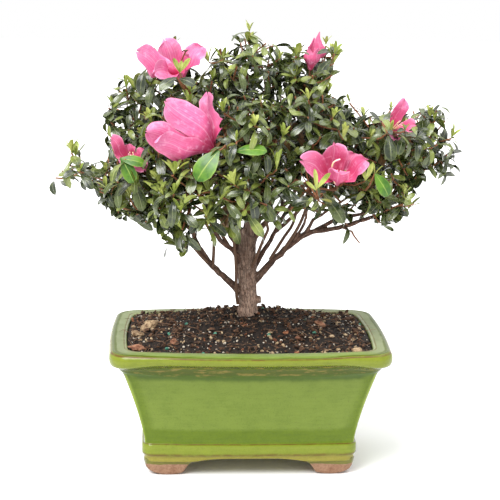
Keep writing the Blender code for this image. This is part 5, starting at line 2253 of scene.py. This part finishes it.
@dataclass(frozen=True)
class Viewpoint:
    """The camera: where it stands, in the plant's own millimetres, and how it looks."""

    place: Triple = (-51.0, -1090.4, 363.6)
    angles: Triple = (79.11, -0.6, -2.67)
    lens: float = 108.0
    sensor: float = 36.0
    pixels: int = 500

    def rotation(self) -> Euler:
        """The camera's turn, in radians."""
        return Euler([math.radians(angle) for angle in self.angles])

    def pixel(self, point: Vector) -> Triple:
        """Where a point falls in the picture.

        Args:
            point: The point, in metres.

        Returns:
            Its column, its row, and its distance from the camera along the view.
        """
        rotation = self.rotation().to_matrix()
        seen = rotation.transposed() @ (point - mm(self.place))
        scale = self.pixels * self.lens / self.sensor
        half = self.pixels / 2
        return half - scale * seen.x / seen.z, half + scale * seen.y / seen.z, -seen.z

    def build(self) -> None:
        """Adds the camera."""
        Bench.clear()
        bpy.ops.object.camera_add(location=mm(self.place) + Bench.offset, rotation=self.rotation())
        camera = bpy.context.object
        camera.name = "camera"
        camera.data.lens = self.lens
        camera.data.sensor_width = self.sensor
        camera.data.clip_start = 0.05
        bpy.context.scene.camera = camera


class Space:
    """The room a mass keeps to: its ball, cut back from its neighbours' by the planes between."""

    def __init__(self, name: str) -> None:
        """Finds the planes that part one mass from every other.

        Args:
            name: The mass's name.
        """
        middle, reach = MASSES[name]
        self.middle = mm(middle)
        self.reach = reach * MM
        self.planes = []
        for other, (other_middle, other_reach) in MASSES.items():
            if other != name:
                away = mm(other_middle) - self.middle
                surplus = self.reach**2 - (other_reach * MM) ** 2
                distance = (away.length + surplus / away.length) / 2
                self.planes.append((away.normalized(), distance))

    def holds(self, point: Vector) -> bool:
        """Whether a point is inside the room.

        Args:
            point: The point.

        Returns:
            Whether it is.
        """
        offset = point - self.middle
        if offset.length > self.reach:
            return False
        return all(offset.dot(normal) < distance for normal, distance in self.planes)


class Tone(Enum):
    """The greens of the leaves, each with its finish and how often a spray has it."""

    DARK = (
        LeafSkin("leaf_dark", shade(26, 38, 16), shade(78, 90, 44), shade(146, 152, 104), 0.27, 0.38),
        0.8,
    )
    GROWN = (
        LeafSkin("leaf_grown", shade(60, 74, 20), shade(120, 132, 56), shade(180, 186, 120), 0.3, 0.32),
        0.2,
    )
    BRIGHT = (
        LeafSkin("leaf_bright", shade(48, 94, 8), shade(90, 134, 24), shade(176, 192, 96), 0.4, 0.15),
        0.0,
    )
    SHOOT = (
        LeafSkin("leaf_shoot", shade(122, 140, 44), shade(172, 180, 92), shade(204, 206, 136), 0.5, 0.05),
        0.0,
    )
    RUSTY = (
        LeafSkin("leaf_rusty", shade(66, 46, 26), shade(116, 86, 50), shade(156, 128, 88), 0.45, 0.1),
        0.0,
    )


@dataclass(frozen=True)
class LeafShape:
    """A leaf's shape: its width as a share of its length, its droop, its fold and its twist."""

    width: float
    droop: float
    fold: float
    twist: float
    widest: float = 0.62

    def pattern(self) -> Pattern:
        """The leaf a unit long, from a grid whose rows are drawn to its outline.

        Returns:
            The pattern: its stalk at the origin, its length along +Y, its upper side up.
        """
        outline = ((0, 0.09), (0.1, 0.16), (0.24, 0.38), (0.42, 0.72), (0.62, 0.98), (0.8, 0.98))
        outline += ((0.94, 0.66), (1.0, 0.16))
        rows, outline_widest = len(outline) - 1, 0.62
        Bench.clear()
        bpy.ops.mesh.primitive_grid_add(x_subdivisions=4, y_subdivisions=rows, size=1.0, calc_uvs=True)
        piece = Bench.named("leaf")
        for vertex in piece.data.vertices:
            along, share = outline[round((vertex.co.y + 0.5) * rows)]
            if 0 < along < 1:
                along = along ** (math.log(self.widest) / math.log(outline_widest))
            wide = self.width / 2 * share * vertex.co.x * 2
            sag = self.droop * along**1.7
            turn = self.twist * along
            lift = abs(wide) * self.fold - abs(wide) ** 2 * 1.6
            vertex.co.x = wide * math.cos(turn) - lift * math.sin(turn)
            vertex.co.y = along * (1 - 0.28 * sag * sag)
            vertex.co.z = wide * math.sin(turn) + lift * math.cos(turn) - sag * along * 0.8
        return Pattern.take(piece)


@dataclass(frozen=True)
class Opening:
    """A round gap in the crown, or a bloom kept in sight: its column, row and radius in pixels.

    A gap has no depth and goes right through. Leaves may stand behind a depth, in metres.
    """

    column: float
    row: float
    radius: float
    depth: float = math.inf

    def hides(self, seen: Triple, spare: float = 0.0) -> bool:
        """Whether something seen there would fill the gap."""
        away = math.hypot(seen[0] - self.column, seen[1] - self.row)
        return away < self.radius + spare and seen[2] < self.depth


# The gaps in the crown and the sky beside it, as column, row and radius in pixels.
SKY_DISCS = (
    (245, 230, 9), (246, 240, 9), (262, 218, 5), (272, 229, 9), (282, 201, 5), (299, 229, 9), (312, 217, 7),
    (330, 227, 5), (333, 241, 12), (349, 244, 10), (355, 211, 4), (204, 236, 7), (213, 250, 7),
    (200, 212, 5), (373, 236, 13), (284, 233, 8), (225, 265, 9), (340, 199, 5), (206, 241, 5),
    (325, 216, 5), (156, 100, 5), (201, 67, 5), (388, 169, 4), (205, 209, 4), (279, 198, 2.5),
    (186, 226, 3), (243, 168, 2.5), (232, 248, 4), (366, 258, 28), (72, 214, 28), (446, 204, 28),
    (370, 78, 28), (124, 234, 17), (96, 152, 10), (44, 140, 28), (188, 18, 28), (80, 94, 28), (224, 38, 10),
    (98, 220, 17), (338, 88, 8), (90, 134, 13), (430, 186, 13), (408, 250, 28), (170, 260, 10),
    (278, 14, 28), (154, 230, 8), (440, 220, 28), (208, 32, 17), (242, 22, 10), (88, 196, 10),
    (352, 62, 13), (456, 126, 10), (416, 92, 13), (380, 92, 17), (148, 20, 22), (364, 226, 5),
    (42, 162, 17), (188, 262, 10), (140, 70, 5), (396, 222, 5), (406, 108, 4), (74, 124, 22), (56, 212, 28),
    (326, 34, 10), (148, 240, 13), (128, 60, 10), (292, 224, 5), (320, 230, 5), (333, 227, 5),
    (346, 224, 5), (358, 220, 5), (370, 216, 4), (198, 244, 5),
)


@dataclass
class Crown:
    """The twigs and leaves, grown on from the limbs by the CAD's rule to finer twigs."""

    wood: Wood
    view: Viewpoint
    whorls_at_30_mm: float = 26.0
    shares: tuple[float, ...] = (0.76, 0.64, 0.5, 0.35, 0.2)
    heart: Vector = field(default_factory=lambda: Vector((0, 5, 195)) * MM)
    leaf_length: float = 19.0 * MM
    hub_share: float = 0.45
    neck_share: float = 0.1
    shapes: tuple[LeafShape, ...] = (
        LeafShape(0.42, 0.35, 0.3, -0.1, 0.52),
        LeafShape(0.37, 0.6, 0.4, 0.3),
        LeafShape(0.31, 0.95, 0.5, -0.35),
        LeafShape(0.36, 0.3, 0.45, 0.0),
        LeafShape(0.33, 0.75, 0.6, 0.15, 0.66),
    )
    shoot_shapes: tuple[LeafShape, ...] = (
        LeafShape(0.24, 0.1, 0.7, 0.1, 0.55),
        LeafShape(0.3, 0.25, 0.5, -0.2, 0.55),
    )
    bright_clear: float = 9.0
    shoot_reach: float = 0.85
    leaf_reach: float = 1.08
    rusty_share: float = 0.26
    leaf_counts: tuple[int, int] = (7, 8)
    side_twigs: int = 3
    stem_foot: float = 1.3 * MM
    stem_tip: float = 0.5 * MM
    stem_sides: int = 7
    twig_foot: float = 0.85 * MM
    twig_sides: int = 5
    twig_tip: float = 0.66 * MM
    lift_degrees: tuple[float, float] = (-8, 48)
    sag: float = 0.3
    inner_shorter: float = 0.45
    inner_part: float = 0.8
    heaps: dict[Tone, Heap] = field(default_factory=dict)
    twigs: Rods = field(default_factory=lambda: Rods("twigs"))
    openings: list[Opening] = field(default_factory=lambda: [Opening(*disc) for disc in SKY_DISCS])
    knots: list[Vector] = field(default_factory=list)

    def whorls(self, space: Space, dice: Dice) -> list[tuple[Vector, Vector]]:
        """Where the whorls go: spread evenly round the space, the first on its outer side.

        Args:
            space: The room that they keep to.
            dice: The source of chance.

        Returns:
            The place of each, and its way out from the middle.
        """
        wanted = max(3, round(self.whorls_at_30_mm * (space.reach / (30 * MM)) ** 2))
        swing = UP.rotation_difference((space.middle - self.heart).normalized())
        found = []
        for i in range(wanted):
            height = 1 - 1.85 * (i + 0.1) / wanted
            flat = math.sqrt(1 - height * height)
            angle = i * GOLDEN_ANGLE + dice.uniform(-0.3, 0.3)
            way = swing @ Vector((flat * math.cos(angle), flat * math.sin(angle), height))
            for share in self.shares:
                target = space.middle + way * space.reach * (share + dice.uniform(-0.05, 0.05))
                if space.holds(target + way * 3 * MM):
                    found.append((target, way))
                    break
        return found

    def open_at(self, point: Vector, spare: float = 0.0) -> bool:
        """Whether a point is in one of the crown's openings."""
        seen = self.view.pixel(point)
        return any(opening.hides(seen, spare) for opening in self.openings)

    def lay(
        self,
        tone: Tone,
        root: Vector,
        way: Vector,
        face: Vector,
        length: float,
        broad: float,
        dice: Dice,
        pattern: int | None = None,
    ) -> None:
        """Lays one leaf.

        Args:
            tone: Its green.
            root: Where its stalk starts.
            way: The way that it grows.
            face: The way that its upper side looks.
            length: Its length.
            broad: How much broader it is than its pattern.
            dice: The source of chance.
            pattern: The number of its pattern, where that isn't left to chance.
        """
        side = way.cross(face).normalized()
        top = side.cross(way).normalized()
        matrix = Matrix.Identity(4)
        for row in range(3):
            matrix[row][0] = side[row] * length * broad
            matrix[row][1] = way[row] * length
            matrix[row][2] = top[row] * length
            matrix[row][3] = root[row]
        heap = self.heaps[tone]
        heap.lay(dice.randrange(len(heap.patterns)) if pattern is None else pattern, matrix)

    def spray(self, tip: Vector, axis: Vector, outer: float, dice: Dice) -> None:
        """A whorl of leaves at a twig's tip, sometimes with a tuft of young ones in it.

        Args:
            tip: The twig's tip.
            axis: The way that the twig ends.
            outer: How far out in its mass the whorl is, from 0 to 1.
            dice: The source of chance.
        """
        tones = list(Tone)
        main_tone = dice.choices(tones, [tone.value[1] for tone in tones])[0]
        if outer < self.inner_part and dice.random() < self.rusty_share:
            main_tone = Tone.RUSTY
        count = dice.randint(*self.leaf_counts)
        turn = dice.uniform(0, math.tau)
        low, high = self.lift_degrees
        for i in range(count):
            inner = i / (count - 1)
            side = spoke(axis, turn + i * GOLDEN_ANGLE + dice.gauss(0, 0.15))
            lift = math.radians(low + (high - low) * inner) + dice.gauss(0, 0.14)
            way = side * math.cos(lift) + axis * math.sin(lift) - UP * (self.sag - self.sag * inner)
            length = self.leaf_length * (1 - self.inner_shorter * inner) * dice.uniform(0.78, 1.14)
            tone = main_tone
            if tone is Tone.DARK and dice.random() < 0.5 * inner:
                tone = Tone.GROWN
            root = tip - axis * (1 - inner) * 4 * MM
            tilt = Vector((dice.gauss(0, 0.2), dice.gauss(0, 0.2), 0.2))
            way = way.normalized()
            if not any(self.open_at(root + way * length * share) for share in (0.4, 0.7, 0.95)):
                self.lay(tone, root, way, axis + tilt, length, dice.uniform(0.88, 1.14), dice)
        if dice.random() < 0.08 + 0.22 * outer:
            self.tuft(tip, axis, dice.randint(2, 5), dice.uniform(7, 12) * MM, 0.4, dice)

    def tuft(self, tip: Vector, axis: Vector, count: int, size: float, spread: float, dice: Dice) -> None:
        """A tuft of narrow young leaves that stand up from a twig's tip.

        Args:
            tip: The twig's tip.
            axis: The way that the twig ends.
            count: How many leaves it has.
            size: How long they are.
            spread: How far they lean out.
            dice: The source of chance.
        """
        rise = (axis + UP * 0.9).normalized()
        turn = dice.uniform(0, math.tau)
        for i in range(count):
            side = spoke(rise, turn + i * GOLDEN_ANGLE)
            lean = spread * dice.uniform(0.4, 1.5)
            way = (rise + side * lean).normalized()
            length = size * dice.uniform(0.75, 1.1)
            self.lay(Tone.SHOOT, tip, way, rise - side * 1.5, length, dice.uniform(0.9, 1.2), dice)

    def grow_mass(self, name: str, limb: Limb) -> None:
        """Twigs that branch from one stem at a limb's tip, each to a whorl, all in one space.

        Args:
            name: The limb's name.
            limb: Its sizes.
        """
        space = Space(limb.mass)
        dice = Dice(limb.mass)
        route = self.wood.routes[name]
        ahead = (route.points[-1] - route.points[-2]).normalized()
        foot = route.points[-1] - ahead * 1.5 * MM
        hub = foot.lerp(space.middle, self.hub_share)
        neck = foot + ahead * self.neck_share * space.reach
        crest = space.middle.lerp(hub, -0.5)
        stem_radius = min(self.stem_foot, route.radii[-1]) * 0.98
        stem = Route([foot, neck, hub, crest], (stem_radius, self.stem_tip), 3 * MM)
        self.twigs.add(stem, self.stem_sides)
        joints = []
        for i in range(2, len(stem.points)):
            joints.append((stem.points[i], stem.reached[i] * 0.5, stem.radii[i]))
        targets = self.whorls(space, dice)
        for target, way in sorted(targets, key=lambda item: (item[0] - foot).length):
            if self.open_at(target, 2.0):
                continue
            start, travelled, radius = min(
                joints, key=lambda item: (item[0] - target).length + 0.4 * item[1]
            )
            axis = (target - start).normalized() * 0.5 + way * 0.6 + UP * 1.2
            axis += Vector((dice.gauss(0, 0.22), dice.gauss(0, 0.22), 0))
            axis.normalize()
            span = (target - start).length
            bow = start.lerp(target, 0.55) - axis * span * 0.1
            bow += any_way(dice) * span * 0.05
            thick = min(radius * 0.88, self.twig_foot + 0.01 * span)
            twig = Route([start, bow, target], (thick, self.twig_tip), 4 * MM)
            self.twigs.add(twig, self.twig_sides)
            for i in range(1, len(twig.points) - 1):
                reached = travelled + twig.reached[i]
                joints.append((twig.points[i], reached, twig.radii[i]))
            self.knots += twig.points[1:]
            outer = min(1.0, (target - space.middle).length / (0.74 * space.reach))
            if outer < self.inner_part:
                self.fork(twig, dice)
            self.spray(target, axis, outer, dice)

    def fork(self, twig: Route, dice: Dice) -> None:
        """Adds a few bare side twigs to a twig, where they fill no opening.

        Args:
            twig: The twig.
            dice: The source of chance.
        """
        for _ in range(self.side_twigs):
            knot = dice.choice(twig.points[1:])
            way = any_way(dice, 0.4).normalized()
            end = knot + way * dice.uniform(6, 15) * MM
            if not self.open_at(end, 1.0):
                bend = knot.lerp(end, 0.5) - UP * dice.uniform(0, 1.5) * MM
                self.twigs.add(Route([knot, bend, end], (0.55 * MM, 0.42 * MM), 5 * MM), 4)

    def reach_out(self, place: Vector) -> Vector:
        """Adds a twig from the nearest knot to a place.

        Args:
            place: The place.

        Returns:
            The way that the twig ends.
        """
        start = min(self.knots, key=lambda knot: (knot - place).length)
        bow = start.lerp(place, 0.5) - UP * (place - start).length * 0.12
        self.twigs.add(Route([start, bow, place], (0.75 * MM, 0.5 * MM), 4 * MM), self.twig_sides)
        return (place - bow).normalized()

    def grow_lone(self) -> None:
        """Adds the whorls, the tufts and the leaves that stand out."""
        dice = Dice("lone")
        for point in LONE_WHORLS:
            place = mm(point)
            axis = (self.reach_out(place) * 0.6 + UP).normalized()
            self.spray(place, axis, 0.8, dice)
        for tuft in LONE_TUFTS:
            place = mm(tuft.foot)
            axis = (self.reach_out(place) * 0.3 + UP).normalized()
            self.tuft(place, axis, tuft.count, tuft.length * MM, tuft.lean, dice)
        for leaf in LONE_LEAVES:
            foot, tip = mm(leaf.foot), mm(leaf.tip)
            self.reach_out(foot)
            span = tip - foot
            way, face = span.normalized(), Vector(leaf.face)
            length = span.length * (self.shoot_reach if leaf.tone == "SHOOT" else self.leaf_reach)
            self.lay(Tone[leaf.tone], foot, way, face, length, leaf.breadth, dice, 0)

    def build(self) -> None:
        """Grows every mass and hands over the twigs and the leaves of each green."""
        shapes = [shape.pattern() for shape in self.shapes]
        narrow = [shape.pattern() for shape in self.shoot_shapes]
        for leaf in LONE_LEAVES:
            if leaf.tone == "BRIGHT":
                middle = Vector(leaf.foot).lerp(Vector(leaf.tip), 0.55) * MM
                column, row, depth = self.view.pixel(middle)
                self.openings.append(Opening(column, row, self.bright_clear, depth))
        for tone in Tone:
            patterns = narrow if tone is Tone.SHOOT else shapes
            self.heaps[tone] = Heap("leaves_" + tone.name.lower(), patterns)
        for name, limb in LIMBS.items():
            self.grow_mass(name, limb)
        self.grow_lone()
        for points in BARE_SHOOTS:
            self.twigs.add(Route([mm(p) for p in points], (1.3 * MM, 1.1 * MM), 4 * MM), self.stem_sides)
        masses = ["mass_" + name for name in MASSES]
        Bench.hand_over(self.twigs.build(), TwigSkin().material(), "bark", masses)
        for tone, heap in self.heaps.items():
            LOG.info("%s: %d leaves", heap.name, heap.count())
            material = tone.value[0].material()
            for part in heap.parts():
                Bench.hand_over(part.build(), material, "foliage", masses)


# The flowers


@dataclass
class Flowers:
    """The flowers: five petals round a tube, their stamens and their stalks."""

    blooms: tuple[Bloom, ...] = BLOOMS
    rows: int = 14
    columns: int = 8
    thickness: float = 0.25 * MM
    stamens: int = 5
    tube_radius: float = 1.4 * MM
    tube_widening: float = 0.12
    blunt_from: float = 0.64
    funnel: float = 1.42

    def blade_width(self, bloom: Bloom, petal: Petal, t: float) -> float:
        """How wide a petal is, broad above its foot and blunt at its tip.

        Args:
            bloom: The flower that it belongs to.
            petal: Its sizes.
            t: The share of its length.

        Returns:
            The width there.
        """
        past = max(0.0, (t - self.blunt_from) / (1 - self.blunt_from))
        blunt = math.sqrt(max(0.0, 1 - past**2.8))
        width = petal.width * MM * (0.45 + 0.55 * smooth(t / 0.55)) * max(blunt, 0.08)
        if bloom.flare < 0.3:
            width *= 1 - 0.8 * smooth((t - 0.45) / 0.55)
        return width

    @staticmethod
    def waves(petal: Petal, u: float, t: float, phase: float) -> Triple:
        """How far a petal's waves shift a point of it.

        Args:
            petal: Its sizes.
            u: How far across it the point is, from -1 to 1.
            t: How far along it the point is, from 0 to 1.
            phase: Where its waves start.

        Returns:
            The shift to its inner side, the one ahead as a share of its length, and the one sideways.
        """
        ruffle = math.sin(u * 4.2 + phase + t * 3) * t * t * petal.wave * 0.9 * MM
        ruffle += abs(u) ** 3 * math.sin(t * 13 + phase * u) * petal.wave * 0.9 * MM * t
        crease = ((1 - abs(u)) ** 6) * 0.5 * MM * t
        ragged = 0.04 * math.sin(u * 5 + phase) * smooth((t - 0.5) * 2)
        sideways = noise.noise(Vector((t * 7, phase, u))) * abs(u) ** 3 * petal.wave * 2.2 * MM
        return ruffle - crease, ragged, math.copysign(sideways, u)

    def petal(self, bloom: Bloom, petal: Petal, axis: Vector, number: int) -> Piece:
        """One petal, bent out of the tube to its tip.

        Args:
            bloom: The flower that it belongs to.
            petal: Its sizes.
            axis: The way that the flower looks.
            number: Its place in the flower.

        Returns:
            The petal's sheet, with its thickness.
        """
        Bench.clear()
        bpy.ops.mesh.primitive_grid_add(
            x_subdivisions=self.columns, y_subdivisions=self.rows, size=1.0, calc_uvs=True
        )
        piece = Bench.named(f"petal_{bloom.name}_{number}")
        foot, tip = mm(bloom.foot), mm(petal.tip)
        reach = tip - foot
        length = reach.length
        outward = (reach - axis * reach.dot(axis)).normalized()
        tube_side = axis.cross(outward).normalized()
        knee = foot + axis * length * (0.62 - 0.3 * bloom.flare)
        knee += outward * length * 0.2 * bloom.flare
        blade_side = tube_side
        if petal.face:
            blade_side = (tip - knee).cross(Vector(petal.face)).normalized()
            blade_side *= math.copysign(1.0, blade_side.dot(tube_side))
        phase = Dice(f"{bloom.name}{number}").uniform(0, math.tau)
        for vertex in piece.data.vertices:
            t = 1 - (0.5 - vertex.co.y) ** 1.4
            u = vertex.co.x * 2
            line = foot * (1 - t) ** 2 + knee * 2 * t * (1 - t) + tip * t * t
            ahead = ((knee - foot) * (1 - t) + (tip - knee) * t).normalized()
            side = tube_side.lerp(blade_side, smooth((t - 0.15) / 0.4))
            side = (side - ahead * side.dot(ahead)).normalized()
            inner = ahead.cross(side)
            tube = self.tube_radius + self.tube_widening * length * smooth(t / 0.45)
            tube *= 1 - smooth((t - 0.4) / 0.5)
            line += outward * tube
            ring = tube + max(0.0, (line - foot).dot(outward) - tube)
            funnel = self.funnel * ring * (1 - smooth((t - 0.35) / 0.3))
            half = max(self.blade_width(bloom, petal, t), funnel) / 2
            bend = ring + (max(half * 1.8, ring) - ring) * smooth((t - 0.2) / 0.4)
            angle = u * half / bend
            place = line + side * bend * math.sin(angle) + inner * bend * (1 - math.cos(angle))
            inwards, ragged, sideways = self.waves(petal, u, t, phase)
            vertex.co = place + side * sideways + inner * inwards + ahead * (ragged * length)
        Bench.modify(piece, "SOLIDIFY", thickness=self.thickness, offset=0.0)
        Bench.subdivide(piece, 1)
        Bench.write(piece, "deep", [bloom.deep] * len(piece.data.vertices))
        return piece

    def threads(self, bloom: Bloom, axis: Vector, rods: Rods) -> None:
        """The style, and short stamens that stay in the tube.

        Args:
            bloom: The flower.
            axis: The way that it looks.
            rods: The bundle that they are added to.
        """
        foot = mm(bloom.foot)
        if bloom.style:
            line = [foot] + [mm(point) for point in bloom.style]
            rods.add(Route(line, (0.5 * MM, 0.55 * MM), 2 * MM), 8)
        for i in range(self.stamens):
            end = foot + axis * 11 * MM + spoke(axis, i * math.tau / self.stamens) * 1.8 * MM
            rods.add(Route([foot, end, end + axis * 1.2 * MM], (0.26 * MM, 0.45 * MM), 3 * MM), 6)

    def build(self, stalks: Rods) -> None:
        """Makes every flower and hands the petals and the threads over.

        Args:
            stalks: The bundle of twigs, which takes the flowers' stalks.
        """
        petals = []
        rods = Rods("flower_threads")
        for bloom in self.blooms:
            foot = mm(bloom.foot)
            reaches = [(mm(petal.tip) - foot).normalized() for petal in bloom.petals]
            axis = sum(reaches, Vector()).normalized()
            for number, petal in enumerate(bloom.petals):
                petals.append(self.petal(bloom, petal, axis, number))
            self.threads(bloom, axis, rods)
            middle = min(MASSES.values(), key=lambda mass: (mm(mass[0]) - foot).length)
            inner = foot.lerp(mm(middle[0]), 0.8)
            bend = foot - axis * 5 * MM
            stalks.add(Route([inner, bend, foot + axis * 1 * MM], (0.7 * MM, 0.9 * MM), 3 * MM), 6)
        piece = Bench.join("petals", petals)
        Bench.hand_over(piece, PetalSkin().material(), "foliage")
        Bench.hand_over(rods.build(), FlowerThread().material(), "foliage")

    def sight_lines(self, view: Viewpoint) -> list[Opening]:
        """The discs of the picture in which no leaf may stand before a petal with a face.

        Args:
            view: The camera.

        Returns:
            One opening for each stretch of each petal.
        """
        openings = []
        for bloom in self.blooms:
            foot = mm(bloom.foot)
            for petal in bloom.petals:
                for share in (0.35, 0.6, 0.85) if petal.face else ():
                    place = foot.lerp(mm(petal.tip), share)
                    column, row, depth = view.pixel(place)
                    radius = petal.width * 0.6
                    openings.append(Opening(column, row, radius, depth + 4 * MM))
        return openings


# The studio


@dataclass
class Studio:
    """The pale floor and the soft lights.

    A light is given by the place that it comes from, its share of the sun and its breadth in degrees.
    """

    floor_size: float = 12.0
    world: float = 1.0
    sun: float = 3.2
    key: tuple[Triple, float, float] = ((-0.9, -1.1, 1.7), 1.0, 34)
    top: tuple[Triple, float, float] = ((0.4, 0.3, 1.8), 0.4, 60)

    def floor(self) -> None:
        """Lays the wide pale floor."""
        Bench.clear()
        bpy.ops.mesh.primitive_plane_add(size=self.floor_size)
        piece = Bench.named("floor")
        with Bench.edit():
            bpy.ops.mesh.subdivide(number_cuts=6)
        piece.data.materials.append(Paper().material())

    def light(self, name: str, place: Triple, power: float, spread: float) -> None:
        """A broad soft light that shines towards the crown from very far away.

        Args:
            name: Its name.
            place: Where it comes from.
            power: Its strength.
            spread: How broad it looks, in degrees.
        """
        Bench.clear()
        aim = -Vector(place)
        turn = aim.to_track_quat("-Z", "Y").to_euler()
        bpy.ops.object.light_add(type="SUN", location=place, rotation=turn)
        lamp = bpy.context.object
        lamp.name = name
        lamp.data.angle = math.radians(spread)
        lamp.data.energy = power

    def build(self) -> None:
        """Lays the floor, hangs the lights and sets the sky's glow."""
        self.floor()
        for name, (place, share, spread) in (("key", self.key), ("top", self.top)):
            self.light(name, place, self.sun * share, spread)
        scene = bpy.context.scene
        scene.world = bpy.data.worlds.new("studio_sky")
        scene.world.use_nodes = True
        glow = scene.world.node_tree.nodes["Background"]
        glow.inputs["Color"].default_value = (1, 1, 1, 1)
        glow.inputs["Strength"].default_value = self.world
        scene.view_settings.view_transform = "Standard"


def main() -> None:
    """Builds the plant in its pot from the ground up, then the studio round it."""
    logging.basicConfig(level=logging.INFO, format="%(message)s")
    low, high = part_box("pot")
    pot = Pot()
    middle = (low + high) / 2
    Bench.offset = Vector((middle.x - pot.middle_x, middle.y, pot.deeper))
    view = Viewpoint()
    view.build()
    pot.build()
    Feet(pot).build()
    Soil(pot).build()
    wood = Wood()
    wood.lay_routes()
    wood.build()
    flowers = Flowers()
    crown = Crown(wood, view)
    crown.openings += flowers.sight_lines(view)
    flowers.build(crown.twigs)
    crown.build()
    Studio().build()


if __name__ == "__main__":
    main()
